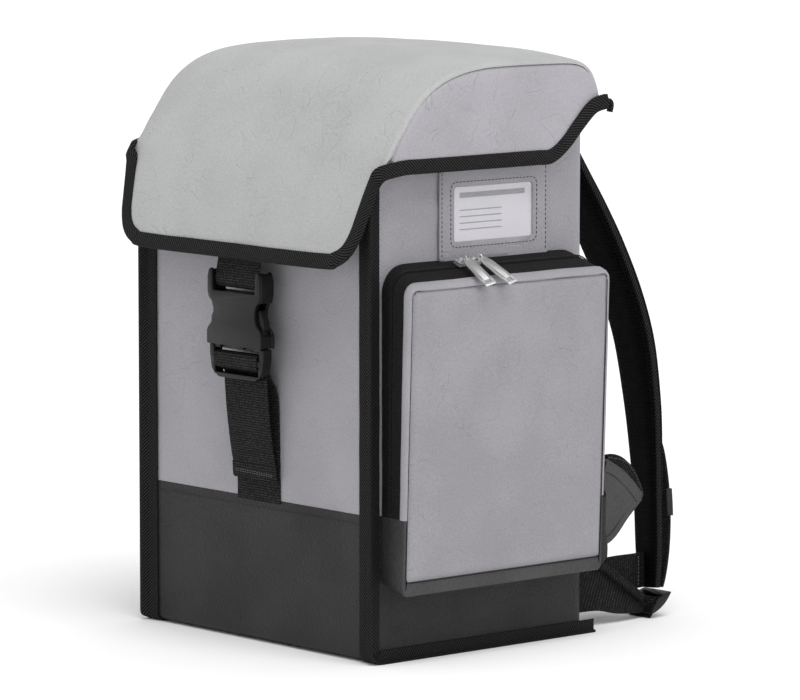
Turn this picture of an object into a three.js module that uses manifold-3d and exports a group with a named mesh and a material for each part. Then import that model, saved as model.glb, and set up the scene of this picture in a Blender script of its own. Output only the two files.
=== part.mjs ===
// A square backpack of coated cloth, with a hooded lid, a zipped side pocket and two shoulder straps.
// Millimetres. X runs across the bag, Y from its front to its back, Z up. The front faces -Y.
// The origin is the middle of the base, on the surface that the bag stands on.
import * as THREE from "three";
import { mergeVertices } from "three/addons/utils/BufferGeometryUtils.js";
import Module from "manifold-3d";

// Clearances
const GAP = 0.3;

// How far a cutting body runs past the face that it cuts, and a joined one into its neighbour
const PAST = 1;
const INTO = 2;

// Sheet thicknesses
const CLOTH = 2;
const LEATHER = 1.5;
const TAPE = 1.3;
const WEBBING = 1.6;

// Body
const BODY_WIDTH = 283;
const BODY_DEPTH = 235;
const BODY_RISE = 41;
const BODY_INSET = 0.6;
const FRONT_CORNER = 3;
const BACK_CORNER = 12;
const RIM_DROP = 11;
const RIM_UNDER_HEM = 4;

// Base band
const BASE_HEIGHT = 119;
const BASE_FOLD = 9;
const BASE_FOLD_OUT = 0.8;
const BASE_EDGE = 6;
const BASE_STEP = 18;

// Bindings on the two front edges, which run on along the sides of the base
const FRONT_LEG = 12;
const SIDE_LEG = 8.5;
const BINDING_NOTCH = 1.5;
const FIN = 6.5;
const FIN_WIDTH = 3;
const FIN_FADE = 28;
const FIN_LEAN = 45;
const FIN_LAYS = 1.6;
const FIN_GROOVE = 0.4;
const FLANGE_END = 8;

// Lid
const LID_OVERHANG = 16;
const LID_LEAN = 4;
const LID_RISE = 77;
const LID_CROWN = 7;
const HEM_HEIGHT = 399;
const HEM_WIDTH = 12;
const HEM_LIFT = 42;
const HEM_END = 4;
const HEM_TURN = 0.09;
const HEM_RISE_START = 0.732;
const FLAP_DROP = 75;
const FLAP_TOP_OUT = 4;
const FLAP_LOW_OUT = 26;

// Card window on the side
const PATCH_START = 71;
const PATCH_LENGTH = 117.5;
const PATCH_UNDER_HEM = 8;
const CARD_LENGTH = 85;
const CARD_HEIGHT = 44;
const CARD_INDENT = 16;
const CARD_LIFT = 12;
const CARD = 0.5;
const WINDOW = 0.5;
const WINDOW_MARGIN = 3;
const PATCH_ROUND = 2;
const HOLE_ROUND = 4;

// Side pocket
const POCKET_START = 12;
const POCKET_LENGTH = 215;
const POCKET_BOTTOM = 63;
const POCKET_HEIGHT = 257;
const POCKET_DEEP = 38.5;
const POCKET_SHALLOW = 30;
const POCKET_FRONT_SHIFT = 4;
const POCKET_BACK_SHIFT = 3;
const POCKET_TOP_DROP = 15;
const POCKET_LOW_DROP = 6;
const POCKET_LIP = 12;
const POCKET_PUFF = 6;
const POCKET_ROUND = 30;
const PANEL_ROUND = 10;
const RIM_STRIP = 10;
const COIL_WIDTH = 4;
const COIL_HEIGHT = 1.4;
const COIL_PLACE = 0.34;
const COIL_END = 2;

// Zip sliders and pulls
const SLIDER_LENGTH = 11;
const SLIDER_WIDTH = 9;
const SLIDER_HEIGHT = 4.5;
const SLIDER_FIRST = 84;
const SLIDER_STEP = 14;
const HOOP_WIDTH = 2.2;
const HOOP_EYE = 4;
const PULL_LENGTH = 38;
const PULL_WIDTH = 9.5;
const PULL_THICK = 1.6;
const PULL_HOLE = 4.6;
const PULL_EDGE = 2;
const PULL_ROUND = 1.2;
const PULL_TURNS = [-5, 9];
const PULL_DROOP = 9;

// Front strap and its buckle
const STRAP_WIDTH = 50;
const STRAP_TOP_DROP = 49;
const STRAP_END = 136;
const HEM_FOLD = 12;
const BUCKLE_WIDTH = 64;
const BUCKLE_THICK = 15;
const BUCKLE_OUT = 27;
const BUCKLE_UNDER_HEM = 16;
const SOCKET_LENGTH = 44;
const ARM_LENGTH = 18;
const PLUG_LENGTH = 27;
const BAR = 5;
const SLOT_PLACE = 0.76;

// Slots of the plug, from its lower end up: shares of its length
const PLUG_SLOTS = [
  { from: 0.14, to: 0.42 },
  { from: 0.64, to: 0.88 },
];

// Shoulder straps
const PAD_DROP = 2;
const PAD_LOW = 24;
const PAD_WIDTH = 60;
const PAD_THICK = 17;
const PAD_REACH = 101;
const PAD_X_TOP = 75;
const PAD_X_LOW = 118;
const PAD_TWIST = -26;
const PAD_SIDES = 12;
const TAIL_WIDTH = 25;
const TAIL_TOP = 0.26;
const KEEPER_HEIGHT = 20;
const KEEPER_SIDE = 2;
const LOCK_LENGTH = 44;
const LOCK_WIDTH = 34;
const LOCK_THICK = 7;
const LOCK_TILT = 24;
const LOCK_ROUND = 4;
const LOCK_CLEAR = 2;

// Slots of the ladder lock: shares of its half length
const LOCK_SLOTS = [
  { from: -0.62, to: -0.25 },
  { from: 0.1, to: 0.5 },
];

// Webbing and lug at the strap's lower end
const LOWER_WIDTH = 40;
const LOWER_HEIGHT = 33;
const LUG_WIDTH = 30;
const LUG_LENGTH = 50;

// Hip wings
const WING_LOW = 60;
const WING_HIGH = 151;
const WING_TIP = 105;
const WING_REACH = 76;
const WING_THICK = 5;
const WING_WEBBING = 24;
const WING_BLUNT = 4.5;
const WING_TURN = 12;

// Planes of the body
const FRONT = -BODY_DEPTH / 2;
const BACK = BODY_DEPTH / 2;
const SIDE = BODY_WIDTH / 2;
const PLINTH = GAP + TAPE;

// Places that follow the body and the hem
const BODY_TOP = HEM_HEIGHT + BODY_RISE;
const LID_HALF = SIDE + LID_OVERHANG;
const PATCH_TOP = HEM_HEIGHT - PATCH_UNDER_HEM;
const PAD_TOP = BODY_TOP - PAD_DROP;
const STRAP_TOP = HEM_HEIGHT - STRAP_TOP_DROP;
const BUCKLE_TOP = HEM_HEIGHT - FLAP_DROP - BUCKLE_UNDER_HEM;
const BUCKLE_BOTTOM = BUCKLE_TOP - ARM_LENGTH - SOCKET_LENGTH - PLUG_LENGTH;

// Finishes: colour, roughness, metalness
const FINISH = {
  grey: ["#a9a9b1", 0.55, 0],
  lidGrey: ["#b9bbba", 0.5, 0],
  blackLeather: ["#363636", 0.5, 0],
  blackTape: ["#202020", 0.9, 0],
  blackWeb: ["#1d1d1d", 0.85, 0],
  blackPlastic: ["#2a2a2a", 0.45, 0],
  mesh: ["#161616", 0.95, 0],
  metal: ["#c9c9c9", 0.25, 1],
  card: ["#e9e6ea", 0.6, 0],
  clear: ["#dfe4e6", 0.1, 0],
};

// Side lines of the lid, from its front corner over the top to its back
const LID_PROFILE = [
  { back: 0.021, rise: 0.10 },
  { back: 0.074, rise: 0.36 },
  { back: 0.162, rise: 0.65 },
  { back: 0.251, rise: 0.82 },
  { back: 0.345, rise: 0.92 },
  { back: 0.434, rise: 0.97 },
  { back: 0.523, rise: 0.99 },
  { back: 0.711, rise: 1.00 },
  { back: 0.877, rise: 1.00 },
  { back: 0.949, rise: 0.91 },
  { back: 0.981, rise: 0.77 },
  { back: 0.996, rise: 0.64 },
];

// Side edge of the front flap: shares of the lid's half width and of the flap's drop
const FLAP_EDGE = [
  { across: 1.010, drop: 0.06 },
  { across: 0.975, drop: 0.17 },
  { across: 0.960, drop: 0.31 },
  { across: 0.940, drop: 0.52 },
  { across: 0.920, drop: 0.71 },
  { across: 0.880, drop: 0.87 },
  { across: 0.810, drop: 0.965 },
  { across: 0.700, drop: 1.00 },
];

// Shoulder strap: shares of its height, reach, width and thickness, and of its sideways path and twist
const PAD_STATIONS = [
  { height: 1.000, reach: 0.000, width: 1.00, thick: 0.45, outward: 0.00, twist: 0.0 },
  { height: 0.966, reach: 0.020, width: 1.00, thick: 0.60, outward: 0.03, twist: 0.0 },
  { height: 0.880, reach: 0.270, width: 1.00, thick: 0.85, outward: 0.10, twist: 0.4 },
  { height: 0.788, reach: 0.535, width: 1.00, thick: 0.95, outward: 0.20, twist: 0.8 },
  { height: 0.700, reach: 0.725, width: 1.00, thick: 1.00, outward: 0.29, twist: 1.0 },
  { height: 0.600, reach: 0.880, width: 1.00, thick: 1.00, outward: 0.40, twist: 1.0 },
  { height: 0.500, reach: 0.965, width: 1.00, thick: 1.00, outward: 0.50, twist: 1.0 },
  { height: 0.380, reach: 1.000, width: 1.00, thick: 0.95, outward: 0.62, twist: 1.0 },
  { height: 0.290, reach: 0.990, width: 1.00, thick: 0.85, outward: 0.71, twist: 1.0 },
  { height: 0.170, reach: 0.960, width: 0.90, thick: 0.75, outward: 0.83, twist: 0.9 },
  { height: 0.060, reach: 0.930, width: 0.75, thick: 0.65, outward: 0.94, twist: 0.8 },
  { height: 0.000, reach: 0.915, width: 0.60, thick: 0.50, outward: 1.00, twist: 0.8 },
];

const wasm = await Module();
wasm.setup();

const V = (x, y, z) => new THREE.Vector3(x, y, z);
const mix = THREE.MathUtils.lerp;
const clamp = THREE.MathUtils.clamp;
const smooth = (t) => THREE.MathUtils.smoothstep(t, 0, 1);
const radians = THREE.MathUtils.degToRad;

// A height or width read off a list of pairs, straight between them, level past its ends
function readTable(rows, key, value, at) {
  const list = [...rows].sort((a, b) => a[key] - b[key]);
  if (at <= list[0][key]) return list[0][value];
  for (let i = 1; i < list.length; i += 1) {
    const low = list[i - 1];
    const high = list[i];
    if (at <= high[key]) {
      const share = (at - low[key]) / Math.max(high[key] - low[key], 1e-9);
      return mix(low[value], high[value], share);
    }
  }
  return list[list.length - 1][value];
}

// Volume inside a closed triangle mesh, which tells whether its faces point out
function signedVolume(points, faces) {
  let total = 0;
  for (const [a, b, c] of faces) {
    total += points[a].dot(points[b].clone().cross(points[c])) / 6;
  }
  return total;
}

// The flat picture of a ring of points, seen along its own normal
function flatten(ring) {
  const middle = V(0, 0, 0);
  const normal = V(0, 0, 0);
  for (const p of ring) middle.addScaledVector(p, 1 / ring.length);
  for (let i = 0; i < ring.length; i += 1) {
    const a = ring[i].clone().sub(middle);
    const b = ring[(i + 1) % ring.length].clone().sub(middle);
    normal.add(a.cross(b));
  }
  normal.normalize();
  const other = Math.abs(normal.z) < 0.9 ? V(0, 0, 1) : V(1, 0, 0);
  const right = other.cross(normal).normalize();
  const up = normal.clone().cross(right);
  return ring.map((p) => {
    const q = p.clone().sub(middle);
    return new THREE.Vector2(q.dot(right), q.dot(up));
  });
}

// A closed body through rings of points, with flat ends
function loft(rings) {
  const count = rings[0].length;
  const points = rings.flat();
  const faces = [];
  for (let r = 0; r + 1 < rings.length; r += 1) {
    for (let i = 0; i < count; i += 1) {
      const j = (i + 1) % count;
      const a = r * count + i;
      const b = r * count + j;
      const c = a + count;
      const d = b + count;
      faces.push([a, b, d], [a, d, c]);
    }
  }
  const last = (rings.length - 1) * count;
  for (const [a, b, c] of THREE.ShapeUtils.triangulateShape(flatten(rings[0]), [])) {
    faces.push([a, c, b]);
  }
  for (const [a, b, c] of THREE.ShapeUtils.triangulateShape(flatten(rings[rings.length - 1]), [])) {
    faces.push([last + a, last + b, last + c]);
  }
  if (signedVolume(points, faces) < 0) {
    for (const face of faces) face.reverse();
  }
  const geometry = new THREE.BufferGeometry().setFromPoints(points);
  geometry.setIndex(faces.flat());
  return geometry;
}

// Booleans
function toSolid(geometry) {
  const bare = geometry.clone();
  bare.deleteAttribute("normal");
  bare.deleteAttribute("uv");
  const merged = mergeVertices(bare, 1e-4);
  const mesh = new wasm.Mesh({
    numProp: 3,
    vertProperties: new Float32Array(merged.attributes.position.array),
    triVerts: new Uint32Array(merged.index.array),
  });
  return new wasm.Manifold(mesh);
}

function toGeometry(solid) {
  const mesh = solid.getMesh();
  const geometry = new THREE.BufferGeometry();
  geometry.setAttribute("position", new THREE.BufferAttribute(new Float32Array(mesh.vertProperties), 3));
  geometry.setIndex(new THREE.BufferAttribute(new Uint32Array(mesh.triVerts), 1));
  return geometry;
}

function cut(base, ...tools) {
  let solid = toSolid(base);
  for (const tool of tools) solid = solid.subtract(toSolid(tool));
  return toGeometry(solid);
}

function join(base, ...others) {
  let solid = toSolid(base);
  for (const other of others) solid = solid.add(toSolid(other));
  return toGeometry(solid);
}

// A box between two corners
function box(low, high) {
  const size = high.clone().sub(low);
  const middle = low.clone().add(high).multiplyScalar(0.5);
  return new THREE.BoxGeometry(size.x, size.y, size.z).translate(middle.x, middle.y, middle.z);
}

// A plate with rounded corners in the XZ plane, its thickness along Y from near to far
function frontPlate(outline, near, far) {
  const shape = new THREE.Shape(outline.map(([x, z]) => new THREE.Vector2(x, z)));
  const geometry = new THREE.ExtrudeGeometry(shape, { depth: far - near, bevelEnabled: false });
  return geometry.rotateX(Math.PI / 2).translate(0, far, 0);
}

// A sheet of even thickness along a path in the YZ plane, as wide as stated along X
function ribbon(path, thickness, width, middle) {
  const rings = path.map(([y, z], i) => {
    const [y0, z0] = path[Math.max(i - 1, 0)];
    const [y1, z1] = path[Math.min(i + 1, path.length - 1)];
    const length = Math.hypot(y1 - y0, z1 - z0);
    const ny = ((z1 - z0) / length) * (thickness / 2);
    const nz = (-(y1 - y0) / length) * (thickness / 2);
    const left = middle - width / 2;
    const right = middle + width / 2;
    return [
      V(left, y - ny, z - nz), V(right, y - ny, z - nz),
      V(right, y + ny, z + nz), V(left, y + ny, z + nz),
    ];
  });
  return loft(rings);
}

// Points of a quarter round or any arc in a plane
function arc(centreA, centreB, radius, from, to, steps) {
  return Array.from({ length: steps + 1 }, (unused, i) => {
    const angle = radians(mix(from, to, i / steps));
    return [centreA + radius * Math.cos(angle), centreB + radius * Math.sin(angle)];
  });
}

// Plan of the body: a rectangle with small front corners and larger back ones
function planRing(sideInset, frontInset, backInset, height) {
  const half = SIDE - sideInset;
  const front = FRONT + frontInset;
  const back = BACK - backInset;
  const small = Math.max(FRONT_CORNER - sideInset / 2, 1);
  const large = Math.max(BACK_CORNER - sideInset / 2, 2);
  const steps = 4;
  const outline = [
    ...arc(half - small, front + small, small, -90, 0, steps),
    ...arc(half - large, back - large, large, 0, 90, steps),
    ...arc(-half + large, back - large, large, 90, 180, steps),
    ...arc(-half + small, front + small, small, 180, 270, steps),
  ];
  return outline.map(([x, y]) => V(x, y, typeof height === "function" ? height(y) : height));
}

// Lid lines
const profilePoints = LID_PROFILE.map(({ back, rise }) => {
  return V(0, FRONT + back * BODY_DEPTH, HEM_HEIGHT + rise * LID_RISE);
});
const profileCurve = new THREE.CatmullRomCurve3(profilePoints, false, "centripetal");
const profile = profileCurve.getPoints(2 * (LID_PROFILE.length - 1));
const profileRows = profile.map((p) => ({ y: p.y, z: p.z }));

// How far the flap stands in front of the body at a height
function flapOut(z) {
  return mix(FLAP_TOP_OUT, FLAP_LOW_OUT, (HEM_HEIGHT - z) / FLAP_DROP);
}

// Height of the hem along the side, which rises in an S near the back
function hemHeight(y) {
  const start = FRONT + HEM_RISE_START * BODY_DEPTH;
  return HEM_HEIGHT + HEM_LIFT * smooth(clamp((y - start) / (BACK - start), 0, 1));
}

// Height of the body's rim, which follows the lid and stays under it
function rimHeight(y) {
  const lid = readTable(profileRows, "y", "z", Math.min(y, FRONT + 0.7 * BODY_DEPTH));
  const hem = HEM_HEIGHT + (y - FRONT) * 0.5;
  return Math.min(BODY_TOP, lid - RIM_DROP, hem - RIM_UNDER_HEM);
}

// The hem's middle line from the back of the right cheek round the flap, with the way it faces
function hemStations() {
  const right = [];
  const steps = 24;
  const cheek = LID_HALF + LID_LEAN;
  const turn = FRONT + HEM_TURN * BODY_DEPTH;
  for (let i = 0; i <= steps; i += 1) {
    const y = mix(BACK + HEM_END, turn, i / steps);
    right.push({ point: V(cheek, y, hemHeight(y)), facing: V(1, 0, 0) });
  }
  const cornerDrop = FLAP_EDGE[0].drop * FLAP_DROP;
  right.push({
    point: V(cheek, FRONT + (HEM_TURN / 3) * BODY_DEPTH, HEM_HEIGHT - cornerDrop / 3),
    facing: V(1, -0.4, 0.1),
  });
  for (const row of FLAP_EDGE) {
    const z = HEM_HEIGHT - row.drop * FLAP_DROP;
    const corner = row === FLAP_EDGE[0] ? 0.6 : 0;
    const lean = (FLAP_LOW_OUT - FLAP_TOP_OUT) / FLAP_DROP;
    right.push({ point: V(row.across * LID_HALF, FRONT - flapOut(z), z), facing: V(corner, -1, lean) });
  }
  const left = right.map(({ point, facing }) => ({
    point: point.clone().multiply(V(-1, 1, 1)),
    facing: facing.clone().multiply(V(-1, 1, 1)),
  }));
  const all = [...right, ...left.reverse()];
  return all.map(({ point, facing }, i) => {
    const before = all[Math.max(i - 1, 0)].point;
    const after = all[Math.min(i + 1, all.length - 1)].point;
    const along = after.clone().sub(before).normalize();
    const normal = facing.clone().addScaledVector(along, -facing.dot(along)).normalize();
    const away = normal.clone().cross(along);
    return { point, normal, away };
  });
}
const hem = hemStations();

// Edge of the flap's cloth, just inside the hem
const clothReach = HEM_WIDTH / 2 + 3 * GAP;
const flapCloth = hem
  .slice(0, hem.length / 2)
  .filter(({ point }) => point.y < FRONT)
  .map(({ point, away }) => point.clone().addScaledVector(away, -clothReach))
  .map((p) => ({ x: p.x, z: p.z }));
const flapBottom = flapCloth[flapCloth.length - 1].z;
const cheekEdge = hem
  .slice(0, hem.length / 2)
  .filter(({ point }) => point.y > FRONT)
  .map(({ point, away }) => point.clone().addScaledVector(away, -clothReach));
const cheekCloth = HEM_HEIGHT + clothReach;
flapCloth.push({ x: LID_HALF, z: cheekCloth });

function makeBodyShell() {
  const wall = CLOTH;
  const tray = LEATHER + GAP;
  const foot = PLINTH + CLOTH + GAP;
  const split = BASE_HEIGHT + GAP;
  const top = rimHeight;
  const rings = [
    planRing(tray, tray + BASE_EDGE * 0.6, tray + BASE_EDGE * 0.6, foot),
    planRing(tray, tray, tray, foot + BASE_EDGE),
    planRing(tray, tray, tray, split),
    planRing(BODY_INSET, BODY_INSET, BODY_INSET, split),
    planRing(BODY_INSET, BODY_INSET, BODY_INSET, mix(split, BODY_TOP, 0.5)),
    planRing(BODY_INSET, BODY_INSET, BODY_INSET, top),
    planRing(BODY_INSET + wall, BODY_INSET + wall, BODY_INSET + wall, top),
    planRing(BODY_INSET + wall, BODY_INSET + wall, BODY_INSET + wall, mix(split, BODY_TOP, 0.5)),
    planRing(BODY_INSET + wall, BODY_INSET + wall, BODY_INSET + wall, split),
    planRing(tray + wall, tray + wall, tray + wall, split - wall),
    planRing(tray + wall, tray + wall, tray + wall, foot + BASE_EDGE),
    planRing(tray + wall, tray + wall + BASE_EDGE * 0.6, tray + wall + BASE_EDGE * 0.6, foot + wall),
  ];
  return loft(rings);
}

function makeBaseTray() {
  const wall = LEATHER;
  const rings = [planRing(BASE_STEP, BASE_STEP, BASE_STEP, 0)];
  rings.push(planRing(BASE_STEP, BASE_STEP, BASE_STEP, PLINTH * 0.9));
  const steps = 4;
  for (let i = 0; i <= steps; i += 1) {
    const angle = radians((90 * i) / steps);
    const inset = BASE_EDGE * (1 - Math.sin(angle));
    rings.push(planRing(0, inset, inset, PLINTH + BASE_EDGE * (1 - Math.cos(angle))));
  }
  rings.push(planRing(0, 0, 0, BASE_HEIGHT));
  rings.push(planRing(wall, wall, wall, BASE_HEIGHT));
  rings.push(planRing(wall, wall, wall, PLINTH + CLOTH + BASE_EDGE));
  rings.push(planRing(wall, wall + BASE_EDGE * 0.5, wall + BASE_EDGE * 0.5, PLINTH + CLOTH));
  const reach = SIDE - FRONT_LEG - 2 * GAP;
  const fold = box(
    V(-reach, FRONT - BASE_FOLD_OUT, BASE_HEIGHT - BASE_FOLD), V(reach, FRONT + wall / 2, BASE_HEIGHT));
  return join(loft(rings), fold);
}

// Tape round one front edge: a leg on each panel and a fin at the corner that lies down along the base,
// with a shallow groove between the front leg and the fin. At the bend the side leg is notched
function makeCornerBinding(hand) {
  const top = rimHeight(FRONT) - GAP;
  const bend = BASE_EDGE;
  const full = SIDE_LEG + BINDING_NOTCH;
  const stations = [];
  const fadeStart = top - FIN_FADE;
  for (const z of [top, mix(top, fadeStart, 0.5), fadeStart, BASE_HEIGHT, PLINTH + full]) {
    stations.push({ y: FRONT, z, turn: 0 });
  }
  const steps = 5;
  for (let i = 0; i <= steps; i += 1) {
    const turn = (90 * i) / steps;
    const angle = radians(turn);
    const y = FRONT + bend * (1 - Math.cos(angle));
    const z = PLINTH + bend * (1 - Math.sin(angle));
    stations.push({ y, z, turn, leg: bend - BINDING_NOTCH });
  }
  const end = BACK + FLANGE_END;
  stations.push({ y: FRONT + full, z: PLINTH, turn: 90 });
  stations.push({ y: mix(FRONT, BACK, 0.5), z: PLINTH, turn: 90 });
  stations.push({ y: end - FIN, z: PLINTH, turn: 90 });
  stations.push({ y: end - FIN * 0.3, z: PLINTH, turn: 90, ending: 0.7 });
  stations.push({ y: end, z: PLINTH, turn: 90, ending: 0.25 });
  const rings = stations.map(({ y, z, turn, leg = SIDE_LEG, ending = 1 }) => {
    const angle = radians(turn);
    const outY = -Math.cos(angle);
    const outZ = -Math.sin(angle);
    const share = turn / 90;
    const fade = clamp((top - z) / FIN_FADE, 0.2, 1);
    const fin = FIN * fade * ending;
    const lean = radians(mix(FIN_LEAN, 0, smooth(Math.min(share * FIN_LAYS, 1))));
    const near = GAP + TAPE;
    const width = FIN_WIDTH * Math.max(fade, 0.5) * mix(1, 0.42, share);
    const du = Math.cos(lean);
    const dv = Math.sin(lean);
    const section = [
      [-FRONT_LEG, GAP],
      [GAP, GAP],
      [GAP, -leg],
      [near, -leg],
      [near, near - width],
      [near + fin * du, near - width + fin * dv],
      [near - width + (fin + width * share) * du, near + fin * dv],
      [near - width, near - FIN_GROOVE],
      [-FRONT_LEG, near],
    ];
    return section.map(([u, v]) => V(hand * (SIDE + u), y + v * outY, z + v * outZ));
  });
  return loft(rings);
}

// Lid: one sheet from the top of the back over the crown and down the front, as the flap
function makeLidCrown() {
  const over = [V(0, BACK, BODY_TOP + GAP), ...[...profile].reverse()];
  const stops = 8;
  const first = Math.min(profile[0].z - 2, cheekCloth);
  const heights = [first];
  for (let i = 1; i <= stops; i += 1) {
    heights.push(mix(first, flapBottom, Math.sin((Math.PI / 2) * (i / stops))));
  }
  const path = [...over, ...heights.map((z) => V(0, FRONT - flapOut(z), z))];
  const lengths = [0];
  for (let i = 1; i < path.length; i += 1) {
    lengths.push(lengths[i - 1] + path[i].distanceTo(path[i - 1]));
  }
  const columns = 10;
  const rings = path.map((p, i) => {
    const before = path[Math.max(i - 1, 0)];
    const after = path[Math.min(i + 1, path.length - 1)];
    const along = after.clone().sub(before).normalize();
    const normal = V(0, along.z, -along.y);
    const onFlap = p.z <= cheekCloth && p.y < 0;
    const half = onFlap ? readTable(flapCloth, "z", "x", p.z) : LID_HALF;
    const height = clamp((p.z - flapBottom) / (LID_RISE + FLAP_DROP), 0, 1);
    const fade = Math.min(height ** 1.5 / 0.9, smooth(clamp(lengths[i] / (0.2 * BODY_DEPTH), 0, 1)));
    const outer = [];
    const inner = [];
    for (let c = 0; c <= columns; c += 1) {
      const across = -Math.cos((Math.PI * c) / columns);
      const rise = LID_CROWN * fade * (1 - Math.abs(across) ** 3.5);
      const point = V(across * half, p.y, p.z).addScaledVector(normal, rise);
      outer.push(point);
      inner.push(point.clone().addScaledVector(normal, -CLOTH));
    }
    return [...outer, ...inner.reverse()];
  });
  return loft(rings);
}

// Cheek of the lid, between the crown's seam and the hem
function makeLidCheek(hand) {
  const seam = profile.map((p, i) => {
    const before = profile[Math.max(i - 1, 0)];
    const after = profile[Math.min(i + 1, profile.length - 1)];
    const along = after.clone().sub(before).normalize();
    return p.clone().addScaledVector(V(0, along.z, -along.y), CLOTH + GAP);
  });
  const rows = seam.map((p) => ({ y: p.y, z: p.z }));
  const rings = [];
  for (const { y, z } of rows) {
    const low = readTable(cheekEdge, "y", "z", y);
    if (z - low < 2) continue;
    const ring = [];
    const steps = 4;
    for (let i = 0; i <= steps; i += 1) {
      const share = i / steps;
      const x = LID_HALF + LID_LEAN * (1 - (mix(low, z, share) - HEM_HEIGHT) / LID_RISE);
      ring.push(V(hand * x, y, mix(low, z, share)));
    }
    const inner = ring.map((p) => p.clone().add(V(-hand * CLOTH, 0, 0)));
    rings.push([...ring, ...inner.reverse()]);
  }
  return loft(rings);
}

function makeLidBinding() {
  const half = HEM_WIDTH / 2;
  const out = TAPE;
  const inside = -CLOTH - TAPE;
  const section = [
    [out, half * 0.7],
    [out * 0.4, half],
    [inside + TAPE * 0.4, half],
    [inside, half * 0.7],
    [inside, -half],
    [out, -half],
  ];
  return loft(hem.map(({ point, normal, away }) => section.map(([n, b]) => {
    return point.clone().addScaledVector(normal, n).addScaledVector(away, b);
  })));
}

// Card window: a sewn patch with a hole, the card behind it and a clear sheet in the hole
const patchBottom = POCKET_BOTTOM + POCKET_HEIGHT + 2 * GAP + TAPE;
const cardLow = patchBottom + CARD_LIFT;
const cardStart = FRONT + PATCH_START + CARD_INDENT;

function sidePlate(y0, y1, z0, z1, near, thickness, round) {
  const steps = 4;
  const outline = [
    ...arc(y1 - round, z0 + round, round, -90, 0, steps),
    ...arc(y1 - round, z1 - round, round, 0, 90, steps),
    ...arc(y0 + round, z1 - round, round, 90, 180, steps),
    ...arc(y0 + round, z0 + round, round, 180, 270, steps),
  ];
  const ring = (x) => outline.map(([y, z]) => V(x, y, z));
  return loft([ring(near), ring(near + thickness)]);
}

function makePatch() {
  const near = SIDE + GAP;
  const far = near + CARD + GAP + LEATHER;
  const start = FRONT + PATCH_START;
  const end = start + PATCH_LENGTH;
  const plate = sidePlate(start, end, patchBottom, PATCH_TOP, near, far - near, PATCH_ROUND);
  const edge = WINDOW_MARGIN;
  const holder = sidePlate(
    cardStart - edge, cardStart + CARD_LENGTH + edge, cardLow - edge, cardLow + CARD_HEIGHT + edge,
    near - PAST, PAST + CARD + GAP, WINDOW_MARGIN);
  const hole = sidePlate(
    cardStart, cardStart + CARD_LENGTH, cardLow, cardLow + CARD_HEIGHT, near, far - near + PAST, HOLE_ROUND);
  return cut(plate, holder, hole);
}

function makeCard() {
  const edge = WINDOW_MARGIN - GAP;
  return sidePlate(
    cardStart - edge, cardStart + CARD_LENGTH + edge, cardLow - edge, cardLow + CARD_HEIGHT + edge,
    SIDE + GAP, CARD, WINDOW_MARGIN);
}

function makeWindow() {
  return sidePlate(
    cardStart + GAP, cardStart + CARD_LENGTH - GAP, cardLow + GAP, cardLow + CARD_HEIGHT - GAP,
    SIDE + 2 * GAP + CARD, WINDOW, HOLE_ROUND);
}

// Pocket outlines: share 0 is on the body's side, share 1 is at the pocket's front panel
function pocketEdges(share) {
  const start = FRONT + POCKET_START - share * POCKET_FRONT_SHIFT;
  return {
    start,
    end: FRONT + POCKET_START + POCKET_LENGTH - share * POCKET_BACK_SHIFT,
    low: POCKET_BOTTOM - share * POCKET_LOW_DROP,
    high: POCKET_BOTTOM + POCKET_HEIGHT - share * POCKET_TOP_DROP,
    round: mix(POCKET_ROUND, PANEL_ROUND, share),
  };
}

function pocketOut(z, share) {
  const height = clamp((z - POCKET_BOTTOM) / (POCKET_HEIGHT - POCKET_TOP_DROP), 0, 1);
  return SIDE + GAP + share * mix(POCKET_SHALLOW, POCKET_DEEP, height);
}

// Stations up the pocket's front side, over its top and down its back side, as pairs of Y and Z
function upperStations(share, from) {
  const { start, end, high, round } = pocketEdges(share);
  const steps = 5;
  return [
    [start, from],
    [start, mix(from, high, 0.5)],
    ...arc(start + round, high - round, round, 180, 90, steps),
    [mix(start, end, 0.5), high],
    ...arc(end - round, high - round, round, 90, 0, steps),
    [end, mix(from, high, 0.5)],
    [end, from],
  ];
}

// Stations down the pocket's front side, along its bottom and up its back side
function lowerStations(share, from) {
  const { start, end, low } = pocketEdges(share);
  const round = PANEL_ROUND * 0.6;
  const steps = 4;
  return [
    [start, from],
    ...arc(start + round, low + round, round, 180, 270, steps),
    [mix(start, end, 0.5), low],
    ...arc(end - round, low + round, round, 270, 360, steps),
    [end, from],
  ];
}

// Inward directions of a chain of stations, towards the pocket's middle
function inward(stations, clockwise) {
  return stations.map((unused, i) => {
    const [y0, z0] = stations[Math.max(i - 1, 0)];
    const [y1, z1] = stations[Math.min(i + 1, stations.length - 1)];
    const length = Math.hypot(y1 - y0, z1 - z0);
    const sign = clockwise ? 1 : -1;
    return [(sign * (z1 - z0)) / length, (-sign * (y1 - y0)) / length];
  });
}

// A strip of the pocket's wall between two shares of its depth, standing out or in by two offsets
function pocketStrip(stationsAt, from, to, outer, inner, clockwise) {
  const low = stationsAt(from);
  const high = stationsAt(to);
  const turns = inward(low, clockwise);
  const point = (stations, share, i, offset) => {
    const [y, z] = stations[i];
    return V(pocketOut(z, share), y + turns[i][0] * offset, z + turns[i][1] * offset);
  };
  return loft(low.map((unused, i) => [
    point(low, from, i, outer),
    point(high, to, i, outer),
    point(high, to, i, inner),
    point(low, from, i, inner),
  ]));
}

const pocketSplit = BASE_HEIGHT + GAP;
const panelShare = 1 - (CLOTH + GAP) / POCKET_SHALLOW;
const tapeShare = 1 - RIM_STRIP / POCKET_DEEP;
const coilShare = COIL_WIDTH / POCKET_DEEP;

function makeZipTape() {
  const to = tapeShare - GAP / POCKET_DEEP;
  return pocketStrip((share) => upperStations(share, pocketSplit), 0, to, 0, TAPE, true);
}

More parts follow.
